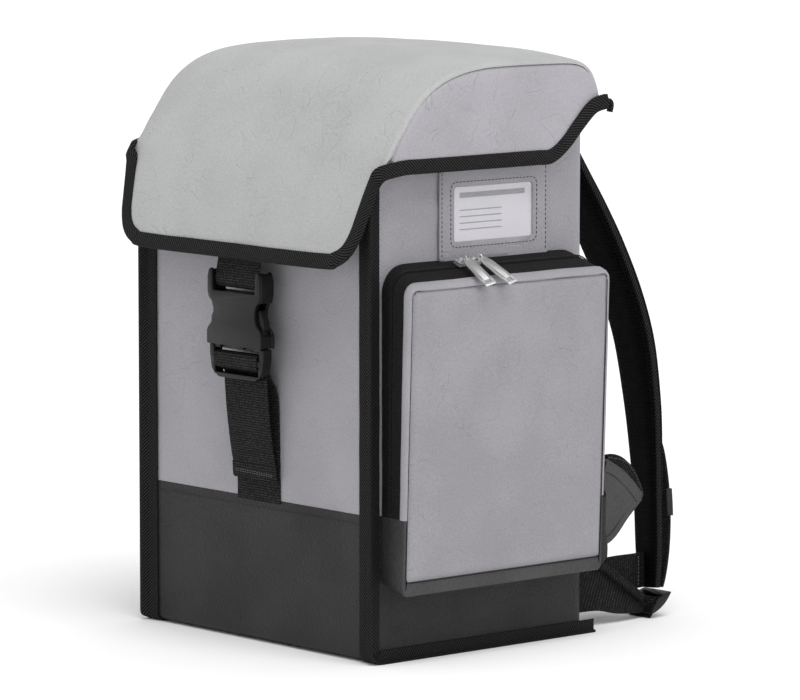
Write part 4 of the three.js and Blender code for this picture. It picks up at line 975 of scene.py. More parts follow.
def crown_ring(p, normal, half, fade, roll):
    """The lid's cloth across the bag: rounded over, and rolled down at both side seams."""
    columns = 44
    outer = []
    for column in range(columns + 1):
        across = -math.cos(math.pi * column / columns)
        q = vec(across * (half - roll), p.y, p.z)
        rise = LID_CROWN * fade * (1 - abs(across) ** 3.5)
        wave = (1 - abs(across) ** 6) * (ripple(q, *LID_BROAD) + ripple(q, *LID_SMALL))
        outer.append(q + normal * (rise + wave))
    roll_right = [vec(half - roll + roll * math.sin(a), p.y, p.z) - normal * roll * (1 - math.cos(a))
                  for a in (math.radians(d) for d in (25, 50, 75, 95))]
    inner = [q - normal * CLOTH for q in reversed(outer)]
    return [mirror(q) for q in reversed(roll_right)] + outer + roll_right + inner


def make_cheeks():
    """The lid's two sides, from the hem up to the seam under the crown."""
    profile = lid_profile(3.0)
    rows = []
    steps = 22
    for p, along in zip(profile, tangents(profile)):
        seam = p + vec(0, along.z, -along.y) * SEAM_ROLL
        low = read_table(CHEEK_CLOTH, seam.y)
        if seam.z - low < 1.0:
            continue
        ring = []
        for i in range(steps + 1):
            share = i / steps
            z = mix(low, seam.z, share)
            x = LID_HALF + LID_LEAN * (1 - (z - HEM_HEIGHT) / LID_RISE)
            puff = 1.8 * math.sin(math.pi * share) ** 0.6 * smooth((seam.z - low) / 40)
            wave = smooth(share / 0.2) * smooth((1 - share) / 0.2)
            wave *= ripple(vec(0, seam.y, z * 1.4), *CHEEK_BROAD) + ripple(vec(x, seam.y, z), *CHEEK_SMALL)
            tuck = 2.2 * smooth((share - 0.94) / 0.06)
            ring.append(vec(x + puff + wave - tuck, seam.y, z))
        rows.append(ring + [q - ACROSS * CLOTH for q in reversed(ring)])
    both_sides(("cheek_cloth", Shape().rings(rows), LID_SIDE_CLOTH, "lid_cloth", "lid_cheek", {}))


def make_hem():
    """Tape folded over the lid's edge, and its two loose ends at the back."""
    half, out, inside = HEM_WIDTH / 2, TAPE, -CLOTH - TAPE
    step = 0.8
    rings = []
    for i, (point, normal, away) in enumerate(hem_frames(step)):
        loop = picot(i * step)
        wobble = ripple(point, *HEM_EDGE)
        swell = ripple(point, *HEM_SWELL)
        section = [
            (out - 0.35, -half + loop - wobble), (out + swell * 0.3, -half * 0.6),
            (out + 0.3 + swell * 0.4, half * 0.2), (out + 0.1, half * 0.72), (out * 0.35, half),
            (inside + TAPE * 0.7, half + 0.1), (inside, half * 0.7), (inside - 0.2, 0.0),
            (inside + 0.3, -half - loop), (inside + TAPE, -half), (0.1, -half),
        ]
        rings.append(set_out(point, normal, away, section))
    piece("hem_tape", Shape().rings(rings), BINDING, "binding_tape", ["lid_binding"], sharp=55)
    tabs = Shape()
    y, z = BACK + HEM_END - 3, hem_height(BACK)
    stations = [(1, 0, 1), (1, 5, 0.5), (1.2, 7.5, -3), (1.6, 6.5, -HEM_TAB)]
    for hand in (1, -1):
        line = spline([vec(hand * (LID_SIDE - inset), y + back, z + up) for inset, back, up in stations], 0.8)
        tabs.sweep(line, ACROSS, flat_section(2.6, 1.6, 1.0))
    piece("hem_tape_ends", tabs, BINDING, "binding_tape")


# Card window
def make_window():
    """A patch with a stitched opening, the card behind it and a clear sheet."""
    card_low, card_high = node_box("id_card")
    hole_low, hole_high = node_box("id_window")
    patch_low, patch_high = node_box("id_patch")
    outer = box_outline(patch_low.y, patch_high.y, patch_low.z - 3, patch_high.z + 3, 0.6)
    outer = even_ring([vec(0, *p) for p in outer], 120)
    hole = grown_outline(hole_low, hole_high, 0.3, 2.5)
    hole = [closest_on(hole, p) for p in outer]
    face = patch_high.x + 0.2
    levels = [(outer, 0.5, 0.0), (outer, 0.9, 0.0), (outer, 1.0, 0.25), (hole, 1.0, -0.6), (hole, 0.85, -0.1),
              (hole, 0.3, 0.0)]
    rings = [[vec(mix(SIDE, face, depth), p.y, p.z) for p in shrink(line, inset)]
             for line, depth, inset in levels]
    middle = []
    for k in (0.25, 0.5, 0.75):
        between = [a.lerp(b, k) for a, b in zip(rings[2], rings[3])]
        middle.append([vec(face + ripple(p, *PATCH_WAVE), p.y, p.z) for p in between])
    rings[3:3] = middle
    shape = Shape().rings(rings, closed=True, caps=False)
    piece("patch_cloth", shape, BODY_CLOTH, "body_cloth", ["id_patch"], sharp=50)
    sheets = ((0.3, 0.8, grown_outline(card_low, card_high, 0, 2.0)),
              (1.35, 1.75, grown_outline(hole_low, hole_high, 1, 3.0)))
    card, cover = [Shape().rings([[vec(SIDE + d, y, z) for y, z in ring] for d in (near, far)])
                   for near, far, ring in sheets]
    piece("card_sheet", card, CARD, "card_stock", ["id_card"])
    print_card(hole_low, hole_high)
    piece("window_sheet", cover, VINYL, "clear_sheet", ["id_window"])
    seams = Shape()
    frame_line = [vec(face + 0.15, y, z) for y, z in grown_outline(hole_low, hole_high, 4.5, 5.0)]
    stitches(seams, frame_line + frame_line[:1], vec(0, 0.7, 0.7), *PATCH_STITCH)
    for y in (patch_low.y + 2.4, patch_high.y - 2.4):
        line = [vec(face + 0.15, y, z) for z in (patch_low.z, patch_high.z)]
        stitches(seams, line, vec(0, 1, 0), *PATCH_STITCH)
    piece("patch_stitches", seams, BLACK_THREAD, "body_cloth")


def shrink(ring, amount):
    middle = sum(ring, vec(0, 0, 0)) / len(ring)
    return [p + (middle - p).normalized() * amount for p in ring]


def print_card(low, high):
    """A plain bar and ruled lines, as shares of the window's width and height."""
    ink = Shape()
    rows = [(0.92, 0.80, 0.90)] + [(0.62, k, k + 0.022) for k in (0.20, 0.32, 0.44, 0.56)]
    for end, bottom, top in rows:
        ink.box((SIDE + 0.8, mix(low.y, high.y, 0.08), mix(low.z, high.z, bottom)),
                (SIDE + 0.86, mix(low.y, high.y, end), mix(low.z, high.z, top)))
    piece("card_lines", ink, CARD_INK, "card_stock")


# Pocket
def pocket_edges(share):
    """Front, back, bottom, top and corner radius of the pocket, at a share of its depth from the panel."""
    return (FRONT + POCKET_START - share * POCKET_FRONT_SHIFT,
            FRONT + POCKET_START + POCKET_LENGTH - share * POCKET_BACK_SHIFT,
            POCKET_BOTTOM - share * POCKET_LOW_DROP,
            POCKET_BOTTOM + POCKET_HEIGHT - share * POCKET_TOP_DROP,
            mix(POCKET_ROUND, PANEL_ROUND, share))


def pocket_out(z, share):
    height = clamp((z - POCKET_BOTTOM) / (POCKET_HEIGHT - POCKET_TOP_DROP))
    return SIDE + GAP + share * mix(POCKET_SHALLOW, POCKET_DEEP, height)


def on_pocket(p, share, out=0.0):
    """The place of p on the pocket, at a share of its depth and a little further out."""
    return vec(pocket_out(p.z, share) + out, p.y, p.z)


def upper_line(share, start_z, count):
    """The pocket's outline up its front, over its top and down its back."""
    start, end, _, high, r = pocket_edges(share)
    line = [(start, start_z), (start, high - r), *arc(start + r, high - r, r, 180, 90, 10),
            *arc(end - r, high - r, r, 90, 0, 10), (end, start_z)]
    return even([vec(0, y, z) for y, z in line], count)


def lower_line(share, start_z, count):
    """The pocket's outline down its front, under its bottom and up its back."""
    start, end, low = pocket_edges(share)[:3]
    r = PANEL_ROUND * 0.6
    line = [(start, start_z), (start, low + r), *arc(start + r, low + r, r, 180, 270, 6),
            *arc(end - r, low + r, r, 270, 360, 6), (end, start_z)]
    return even([vec(0, y, z) for y, z in line], count)


def inward(line):
    """Directions towards the pocket's middle, square to a line that runs up, over and down."""
    return [vec(0, t.z, -t.y) for t in tangents(line)]


def gusset(levels):
    """A strip of the pocket's wall. levels are (share of depth, offset inward) round its section."""
    count = 150
    lines = {share: upper_line(share, BASE_HEIGHT, count) for share, offset in levels}
    turns = inward(upper_line(0.5, BASE_HEIGHT, count))
    rings = []
    for i in range(count + 1):
        ring = []
        for share, offset in levels:
            p = lines[share][i]
            wave = ripple(vec(share * 20, p.y, p.z), *GUSSET_WAVE)
            ring.append(on_pocket(p, share) + turns[i] * (offset + wave))
        rings.append(ring)
    return Shape().rings(rings)


def make_pocket_wall():
    """The zip's tape, the grey rim before it, and the seam between them."""
    end = 1 - RIM_STRIP / POCKET_DEEP
    tape = gusset([(0.0, 0.0), (0.08, -0.4), (0.20, 0.0), (0.245, -0.7), (0.29, 0.35), (0.39, 0.35),
                   (0.435, -0.7), (0.48, 0.1), (0.62, -0.25), (end + 0.02, 0.2), (end + 0.02, 1.6),
                   (0.0, 1.6)])
    piece("zip_tape_cloth", tape, ZIP_TAPE, "zip_tape", ["pocket_zip_tape"], sharp=50)
    rim = gusset([(end, 0.1), (end + 0.005, -0.7), (end + 0.04, -1.3), (0.88, -1.5), (0.97, -1.1),
                  (1.015, 0.0), (1.035, 1.4), (1.02, RIM_ROLL), (0.98, RIM_ROLL + 0.4),
                  (0.94, RIM_ROLL), (end, 1.7)])
    piece("pocket_rim_cloth", rim, BODY_CLOTH, "body_cloth", ["pocket_rim"], sharp=60)
    seam = gusset([(end - 0.012, -0.1), (end + 0.004, -0.25), (end + 0.004, 0.4)])
    piece("rim_tape_seam", seam, BLACK_THREAD, "zip_tape")
    make_coil()
    make_mitres()


def make_mitres():
    """Short seams across the rim strip at its two upper corners."""
    start, end, _, high, r = pocket_edges(1.0)
    shape = Shape()
    for y, hand in ((start, 1), (end, -1)):
        line = []
        for k in range(5):
            reach = r * 0.32 + RIM_ROLL * 1.1 * k / 4
            line.append(on_pocket(vec(0, y + hand * reach, high - reach), mix(0.985, 1.03, k / 4), 0.2))
        shape.sweep(line, vec(0, hand, 1), disc(0.35, 6))
    piece("rim_mitre_seams", shape, BLACK_THREAD, "body_cloth")


def make_coil():
    """Teeth of the closed zip: a small loop at each step, from both sides in turn."""
    teeth = Shape()
    line = upper_line(COIL_PLACE, BASE_HEIGHT + 2, 420)
    for i, (p, turn, ahead) in enumerate(zip(line, inward(line), tangents(line))):
        centre = on_pocket(p, COIL_PLACE) - turn * 0.5
        hand = 1 if i % 2 else -1
        teeth.rings([set_out(centre + ACROSS * a * hand - turn * rise, ahead, -turn, disc(0.42, 5))
                     for a, rise in ((-1.9, -0.3), (-1.2, 0.75), (0.6, 0.95), (1.3, 0.35))])
    piece("zip_teeth", teeth, COIL, "zip_coil", ["pocket_zip_coil"])


def make_pocket_base():
    """The black leather under the pocket, with a lip over the lower edge of its front."""
    count = 140
    walls = (0.0, 0.25, 0.5, 0.75)
    lines = {share: lower_line(share, BASE_HEIGHT, count) for share in (*walls, 1.0)}
    rings = []
    for i, inner in enumerate(inward(lower_line(0.5, BASE_HEIGHT, count))):
        turn = -inner
        lip = mix(POCKET_LIP, 2.4, smooth((abs(turn.y) - 0.3) / 0.5))
        ring = []
        for share in walls:
            p = lines[share][i]
            wave = math.sin(math.pi * share) * ripple(vec(share * 30, p.y, p.z), *POCKET_LOW_WAVE)
            ring.append(on_pocket(p, share) + turn * wave)
        p = lines[1.0][i]
        bow = ripple(p, *LIP_BOW)
        for out, up in ((-0.4, 0), (0.5, 0.8), (0.7 + bow, lip * 0.55), (0.2, lip), (-1.3, lip), (-1.6, 1.6)):
            ring.append(on_pocket(p, 1.0, out) + turn * up)
        rings.append(ring + [on_pocket(lines[0.0][i], 0.0) + turn * 1.5])
    make_back_fold()
    shape = Shape().rings(rings)
    piece("pocket_base_leather", shape, POCKET_LEATHER, "base_leather", ["pocket_base"], sharp=35)


def make_back_fold():
    """Folded seam that stands out behind the pocket's back edge, wider in the leather below."""
    low = POCKET_BOTTOM - 4.0
    end = pocket_edges(1.0)[1]
    leather_top = BASE_HEIGHT + 3
    tape, leather = [], []
    for i in range(61):
        z = mix(low, BACK_FOLD_TOP, i / 60)
        wide = 3.6 * smooth((BACK_FOLD_TOP - z) / 150) + ripple(vec(0, 0, z), *BACK_FOLD_EDGE)
        wide = max(wide, 0.3)
        if z < leather_top:
            wide += 3.4 * smooth((leather_top - z) / 3) + 3.0 * smooth((92 - z) / 20)
            wide *= smooth((z - low + 1.5) / 9)
        section = [(7.5, -2.0), (3.2, -2.0), (2.6, wide - 0.8), (3.0, wide), (4.0, wide + 0.1),
                   (5.2, wide - 0.6)]
        ring = [vec(pocket_out(z, 1.0) - inside, end + behind, z) for inside, behind in section]
        if z < leather_top:
            leather.append(ring)
        if z > BASE_HEIGHT - 4:
            tape.append(ring)
    piece("pocket_back_tape", Shape().rings(tape), ZIP_TAPE, "zip_tape")
    piece("pocket_back_leather", Shape().rings(leather), BASE_LEATHER, "base_leather")


def make_pocket_panel():
    """The pocket's cushioned front, and a thin black cord round it that lies in the seam's groove as painted
    shade.
    """
    start, end, low, high = pocket_edges(1.0)[:4]
    edges = (start + RIM_ROLL, end - RIM_ROLL, low + POCKET_LIP - 1.0, high - RIM_ROLL)
    start, end, low, high = edges
    outline = even_ring([vec(0, y, z) for y, z in box_outline(*edges, 3.5)], 240)
    middle = vec(0, (start + end) / 2, (low + high) / 2)
    rings = []
    for scale in [1.0, 0.997, 0.992, 0.985, 0.975, 0.96] + [mix(0.94, 0.03, k / 36) for k in range(37)]:
        ring = [middle.lerp(p, scale) for p in outline]
        rings.append([on_pocket(q, 1.0, panel_lift(q, scale, *edges)) for q in ring])
    back = [vec(p.x - CLOTH - 0.5, *middle.lerp(vec(0, p.y, p.z), 0.99).yz) for p in rings[0]]
    shape = Shape().rings([back] + rings)
    piece("pocket_panel_cloth", shape, POCKET_CLOTH, "body_cloth", ["pocket_panel"], sharp=60, fill=0.5)
    # A thin black cord in the groove between the panel and the rim: painted shade of the seam, not a real
    # thread.
    line = [on_pocket(p, 1.0, 0.55) for p in outline]
    rings = [set_out(p, ACROSS.cross((q - p).normalized()), ACROSS, disc(0.42, 6))
             for p, q in zip(line, line[1:] + line[:1])]
    piece("panel_seam_shadow", Shape().rings(rings + rings[:1], True, False), BLACK_THREAD, "body_cloth")


def panel_lift(q, scale, start, end, low, high):
    """How far the pocket's front stands out: a rolled edge, a soft cushion and small pulls at the seam."""
    edge = min(q.y - start, end - q.y, q.z - low, high - q.z)
    roll = 2.2 * smooth(edge / 4.5) - 0.3
    cushion = PANEL_PUFF * (1 - scale ** 3)
    top = smooth((q.z - high + 45) / 40) * smooth((high - q.z) / 8)
    pull = 0.45 * top * math.sin(q.y / 9.0 + ripple(q, *POCKET_PULLS))
    wave = ripple(vec(0, q.y, q.z * 0.7), *POCKET_BROAD) + ripple(q, *POCKET_SMALL)
    return roll + cushion + smooth(edge / 18) * wave + pull


# Zip sliders and pulls
def make_zip_pulls():
    """Two sliders on the zip, each with its bridge and pull."""
    for number in (1, 2):
        low, high = node_box(f"zip_slider_{number}")
        middle = (low + high) / 2
        slope = math.atan2(POCKET_TOP_DROP, POCKET_DEEP)
        place = Matrix.Translation(vec(middle.x, middle.y, low.z + 1.2)) @ Matrix.Rotation(slope, 4, "Y")
        body = Shape()
        wing = round_section([(-4.4, -5.4), (4.4, -5.4), (3.0, 5.4), (-3.0, 5.4)], 1.6)
        post = [(-0.9, -4.6), (0.9, -4.6), (0.9, 4.2), (-0.9, 4.2)]
        for outline, bottom, top in ((wing, 0.0, 1.1), (wing, 2.2, 3.3), (post, 0.4, 3.0)):
            body.rings([[place @ vec(x, y, t) for x, y in outline] for t in (bottom, top)])
        bridge = spline([vec(0, -4.2, 3.2), vec(0, -2.6, 5.0), vec(0, 0.4, 5.4), vec(0, 3.2, 3.2)], 0.5)
        body.sweep([place @ p for p in bridge], place.to_3x3() @ ACROSS, flat_section(1.3, 0.45, 0.3))
        piece(f"slider_{number}", body, METAL, "zip_metal", [f"zip_slider_{number}"], bevel=0.2)
        make_pull(number)


def make_pull(number):
    """A flat pull with a slot near its end and a ring at its neck."""
    low, high = node_box(f"zip_pull_{number}")
    slope = math.asin(clamp((high.z - low.z - 3.0) / 38.0))
    y = low.y + 4.9 if number == 2 else high.y - 4.9
    place = Matrix.Translation(vec(low.x + 2.0, y, high.z))
    turn, roll = math.radians(PULL_TURNS[number - 1]), math.radians(PULL_ROLL)
    for angle, axis in ((turn, "Z"), (slope, "Y"), (roll, "X")):
        place = place @ Matrix.Rotation(angle, 4, axis)
    neck, half, end = (0.0, 2.6), PULL_HALF, PULL_LENGTH
    outer = round_section([(neck[0], -neck[1]), (7.6, -half), (end, -half), (end, half), (7.6, half), neck],
                          [1.6, 2.0, 1.2, 1.2, 2.0, 1.6], 4)
    slot = [(end - 7.2, -2.5), (end - 2.6, -2.5), (end - 2.6, 2.5), (end - 7.2, 2.5)]
    plate = holed_plate(outer, slot, PULL_THICK, place)
    piece(f"pull_{number}", plate, METAL, "zip_metal", [f"zip_pull_{number}"], bevel=0.15)
    loop = [place @ vec(x - 1.2, 0, z + 0.4) for x, z in arc(0, 0, 2.3, 0, 360, 20)]
    ring = Shape().sweep(loop, place.to_3x3() @ vec(0, 1, 0), disc(0.6, 8), caps=False)
    piece(f"pull_ring_{number}", ring, METAL, "zip_metal")


def holed_plate(outer, hole, thick, place):
    """A flat plate with one hole, made as a band between the two outlines."""
    edge = even_ring([vec(0, *p) for p in outer], 80)
    inner = [closest_on(hole, p) for p in edge]
    levels = ((edge, 0.0), (edge, thick), (inner, thick), (inner, 0.0), (edge, 0.0))
    return Shape().rings([[place @ vec(p.y, p.z, z) for p in ring] for ring, z in levels], True, False)


# Front strap and buckle
BUCKLE_TOP = HEM_HEIGHT - FLAP_DROP - BUCKLE_DROP
SOCKET_HIGH = BUCKLE_TOP - ARM_LENGTH
SOCKET_LOW = SOCKET_HIGH - SOCKET_LENGTH
BUCKLE_LOW = SOCKET_LOW - PLUG_LENGTH
BAR_HEIGHT = SOCKET_HIGH + ARM_LENGTH * 0.4
FACE = FRONT - BUCKLE_OUT
REAR = FACE + BUCKLE_THICK
MIDDLE = FACE + BUCKLE_THICK / 2
PLUG_HALF = BUCKLE_THICK * 0.31
PLUG_BACK = MIDDLE + PLUG_HALF
PLUG_FRONT = MIDDLE - PLUG_HALF
ON_PANEL = FRONT + INSET - GAP - WEBBING / 2
ON_ANCHOR = ON_PANEL - GAP - WEBBING


def front_web(name, points, seed, width=STRAP_WIDTH, replaces=()):
    """Webbing along a line of (y, z), with rounded and slightly uneven edges."""
    path = spline([vec(BUCKLE_SHIFT, y, z) for y, z in points], 1.6)

    def section(i):
        w = width / 2 + ripple(path[i], *WEB_EDGE, seed)
        t = WEBBING / 2
        under = [(-w, -t * 0.5), (-w + 0.7, -t), (-w * 0.5, -t), (w * 0.5, -t), (w - 0.7, -t), (w, -t * 0.5)]
        return under + [(a, -b) for a, b in reversed(under)]

    piece(name, Shape().sweep(path, ACROSS, section), WEB, "webbing", replaces)


def make_front_strap():
    """The webbing that holds the buckle from above and from below."""
    reach = BAR / 2 + GAP + WEBBING / 2
    low_edge = HEM_HEIGHT - FLAP_DROP
    top = [(FRONT - 12, HEM_HEIGHT - 49), (FRONT - 19, low_edge), (FRONT - 20.5, low_edge - 9),
           (MIDDLE - reach, BAR_HEIGHT + 4), *arc(MIDDLE, BAR_HEIGHT, reach, 180, 360, 10),
           (MIDDLE + reach, SOCKET_HIGH + ARM_LENGTH * 0.9)]
    front_web("buckle_web_top", top, 30.0, replaces=["front_strap_top"])
    behind = PLUG_BACK + 0.6 + 1.5 * WEBBING
    anchor = [(ON_PANEL, BASE_HEIGHT - 2), (ON_PANEL, BASE_HEIGHT + 14)]
    anchor += [(mix(ON_PANEL, behind, out), mix(BASE_HEIGHT, BUCKLE_LOW, up))
               for out, up in ((0.04, 0.5), (0.22, 0.88))]
    anchor += [(y, BUCKLE_LOW + PLUG_LENGTH * share) for y, share in (
        (mix(ON_PANEL, behind, 0.92), 0.12), (behind, 0.5), (behind - 1, 0.68), (PLUG_BACK - 1, SLOT_PLACE),
        (MIDDLE, SLOT_PLACE))]
    front_web("buckle_web_anchor", anchor, 31.0, replaces=["front_strap_anchor"])
    make_tail()


def make_tail():
    """The strap's loose end, which hangs from the plug down to a folded and sewn hem."""
    near = PLUG_FRONT - GAP - WEBBING / 2
    behind = PLUG_BACK + GAP + WEBBING / 2
    tail = [(y, BUCKLE_LOW + PLUG_LENGTH * share) for y, share in (
        (MIDDLE, SLOT_PLACE), (near + WEBBING, SLOT_PLACE), (near, 0.68), (near, 0.46), (near + 1, 0.37),
        (behind - 1, 0.2), (behind, 0.1))]
    tail += [(mix(behind, ON_ANCHOR - 0.4, k ** 2 * 0.6 + k * 0.4), mix(BUCKLE_LOW - BAR, STRAP_END, k))
             for k in (0.0, 0.25, 0.5, 0.75, 1.0)]
    front_web("buckle_web_tail", tail, 32.0, replaces=["front_strap_tail"])
    hem = [(ON_ANCHOR - out, STRAP_END + up) for out, up in (
        (3.1, HEM_FOLD), (2.6, HEM_FOLD / 2), (2.2, 1.2), (1.2, -0.8), (0.4, -0.6))]
    front_web("tail_hem", hem, 33.0, STRAP_WIDTH + 1.6)
    seam = Shape()
    for z in (STRAP_END + 4.0, STRAP_END + 5.6):
        line = [vec(x, ON_ANCHOR - 3.0 - WEBBING / 2, z + 0.5 * math.sin(x)) for x in range(24, -25, -6)]
        stitches(seam, line, DOWN, *TAIL_STITCH)
    piece("tail_hem_stitches", seam.shifted(BUCKLE_SHIFT), GREY_THREAD, "webbing")


def buckle_outline(rows, base):
    """Points of an outline, from shares of the buckle's half width and heights over a base."""
    return [(BUCKLE_HALF * share, base + z) for share, z in rows]


def mirror_outline(right):
    """A closed outline from its right half, listed from the bottom up."""
    return right + [(-x, z) for x, z in reversed(right)]


def buckle_part(name, shape, bevel, replaces=()):
    piece(name, shape.shifted(BUCKLE_SHIFT), PLASTIC, "buckle_plastic", replaces, bevel=bevel)


def make_socket():
    """The buckle's upper half: two plates, its sides, a cross wall and the bar for the webbing."""
    half = BUCKLE_HALF
    inner = STRAP_WIDTH / 2 + 0.6
    right = [(half - 0.5, SOCKET_LOW), (half, SOCKET_LOW + 1.5), (half, SOCKET_LOW + 11),
             (half - 1.5, SOCKET_LOW + 13.5)]
    right += buckle_outline([(0.80, 19), (0.76, 24), (0.76, 30), (0.82, 35), (0.93, 38)], SOCKET_LOW)
    right += buckle_outline([(0.97, -ARM_LENGTH - 1), (0.97, -7), (0.93, -2), (0.87, 0)], BUCKLE_TOP)
    right += [(inner, BUCKLE_TOP - 2), (inner - 0.4, SOCKET_HIGH + 1), (inner - 1.4, SOCKET_HIGH)]
    plates = Shape()
    for near, far in ((FACE, FACE + 3.8), (REAR - 3.2, REAR)):
        plates.prism(mirror_outline(right), near, far)
    horn = buckle_outline([(0.80, -6), (0.95, -7), (1.0, 1), (1.0, ARM_LENGTH - 8), (0.95, ARM_LENGTH - 2),
                           (0.86, ARM_LENGTH - 1), (0.83, 2)], SOCKET_HIGH)
    shoulder = buckle_outline([(0.62, 0.8), (0.985, 0.8), (0.985, 9.5), (0.88, 12.5), (0.62, 12.5)],
                              SOCKET_LOW)
    for hand in (-1, 1):
        for outline in (horn, shoulder):
            plates.prism([(hand * x, z) for x, z in outline], FACE + 1.2, REAR - 0.8)
    plates.box((-half * 0.84, FACE + 1, SOCKET_HIGH - 6), (half * 0.84, REAR - 1, SOCKET_HIGH - 1))
    plates.rings([[vec(x, MIDDLE + y, BAR_HEIGHT + z) for y, z in disc(BAR / 2, 16)]
                  for x in (-half * 0.9, half * 0.9)])
    buckle_part("buckle_socket_shell", plates, 0.9, ["buckle_socket"])


def make_plug():
    """The buckle's lower half: a frame with two bars, the spring arms and a ribbed edge."""
    over = SOCKET_LOW - BUCKLE_LOW
    side = [(0.80, 2), (0.93, 7), (0.99, 19), (0.99, over - 0.5), (0.84, over - 0.5), (0.80, 8)]
    arm = [(0.62, over - 3), (0.90, over - 3), (0.92, over + 14), (0.98, over + 17), (0.96, over + 22),
           (0.82, over + 31), (0.70, over + 32), (0.72, over + 15)]
    shape = Shape()
    for hand in (-1, 1):
        for rows, deep in ((side, PLUG_HALF), (arm, 3.6)):
            outline = [(hand * x, z) for x, z in buckle_outline(rows, BUCKLE_LOW)]
            shape.prism(outline, MIDDLE - deep, MIDDLE + deep)
    for rows, near, far in (
            ([(0.66, 0), (0.86, 3.8)], PLUG_FRONT, PLUG_BACK),
            ([(0.90, 11.5), (0.90, 17)], PLUG_FRONT - 0.4, PLUG_BACK - 2),
            ([(0.95, over - 3.2), (0.95, over - 0.4)], PLUG_FRONT + 3.0, PLUG_BACK),
            ([(0.22, over - 3), (0.20, over + 26)], MIDDLE - 3.4, MIDDLE + 3.4)):
        shape.prism(mirror_outline(buckle_outline(rows, BUCKLE_LOW)), near, far)
    buckle_part("buckle_plug_frame", shape, 0.7, ["buckle_plug"])
    knurl = Shape()
    for k in range(27):
        x = mix(-STRAP_WIDTH / 2, STRAP_WIDTH / 2, k / 26)
        knurl.box((x - 0.5, PLUG_FRONT - 0.9, BUCKLE_LOW + 12),
                  (x + 0.5, PLUG_FRONT + 0.3, BUCKLE_LOW + 16.5))
    buckle_part("buckle_knurl", knurl, 0.25)


# Shoulder straps
PAD_TOP = BODY_TOP - PAD_DROP
PAD_START = PAD_STATIONS[0][3] * PAD_THICK / 2 + GAP - INSET


def pad_frames(step):
    """Stations down the right shoulder strap: place, width and thickness directions, and shares."""
    rows = [Vector((mix(PAD_X_TOP, PAD_X_LOW, outward), BACK + PAD_START + reach * PAD_REACH,
                    mix(PAD_LOW, PAD_TOP, height), width, thick, twist))
            for height, reach, width, thick, outward, twist in PAD_STATIONS]
    fine = spline(rows, step)
    path = [Vector(r[:3]) for r in fine]
    result = []
    for r, p, along in zip(fine, path, tangents(path)):
        width, thick, twist = r[3:]
        turn = math.radians(PAD_TWIST * twist)
        side = vec(math.cos(turn), math.sin(turn), 0)
        side = (side - along * side.dot(along)).normalized()
        out = side.cross(along)
        result.append((p, side, out if out.y > 0 else -out, width, thick))
    return result


def make_pads():
    """The padded straps, and the piping along their edges."""
    padding, piping = [], {1: [], -1: []}
    edge = round_section([(-3.6, -1.7), (1.0, -2.2), (1.0, 2.2), (-3.6, 1.7)], 1.1)
    for p, side, out, width, thick in pad_frames(4.0):
        half = 0.5 * PAD_WIDTH * width
        ring = []
        for a, b in disc(1, 40):
            wide = math.copysign(abs(a) ** 0.55, a) * half
            deep = math.copysign(abs(b) ** 0.8, b) * 0.5 * PAD_THICK * thick
            swell = ripple(p + side * wide, *PAD_SWELL)
            ring.append(p + side * wide * 0.985 + out * (deep * (1 - 0.10 * (1 - abs(a))) + swell * abs(b)))
        padding.append(ring)
        for hand in (1, -1):
            piping[hand].append(set_out(p + side * hand * (half - 1.0), side * hand, out, edge))
    pad = Shape().rings(padding)
    cords = Shape().rings(piping[1]).rings(piping[-1])
    both_sides(("strap_padding", pad, MESH, "pad_mesh", "strap_pad", {"sharp": 60, "fill": 0.7}),
               ("strap_piping", cords, BINDING, "binding_tape", "", {"sharp": 60}))


def make_strap_webbing():
    """The adjuster's webbing on each pad, and the band that keeps it there."""
    low, high = (corner.z for corner in node_box("strap_tail_right"))
    keeper_low, keeper_high = (corner.z for corner in node_box("strap_keeper_right"))
    band = round_section([(-15.5, -3.0), (-14.6, 2.4), (14.6, 2.4), (15.5, -3.0), (13.6, -3.0), (13.2, 1.2),
                          (-13.2, 1.2), (-13.6, -3.0)], 0.5, 2)
    rings, bands = [], []
    for p, side, out, _, thick in pad_frames(2.5):
        if not low - 1 <= p.z <= high:
            continue
        share = clamp((high - p.z) / (high - low))
        bulge = TAIL_BULGE * math.sin(math.pi * share) ** 0.7 if 0 < share < 1 else 0.0
        centre = p + out * (0.5 * PAD_THICK * thick + 1.4 + bulge)
        rings.append(set_out(centre, side, out, flat_section(TAIL_HALF, 1.1, 0.6)))
        if keeper_low - 1 < p.z < keeper_high + 1:
            bands.append(set_out(centre, side, out, band))
    both_sides(("adjuster_web", Shape().rings(rings), WEB, "webbing", "strap_tail", {}),
               ("keeper_band", Shape().rings(bands), BASE_LEATHER, "webbing", "strap_keeper", {}))


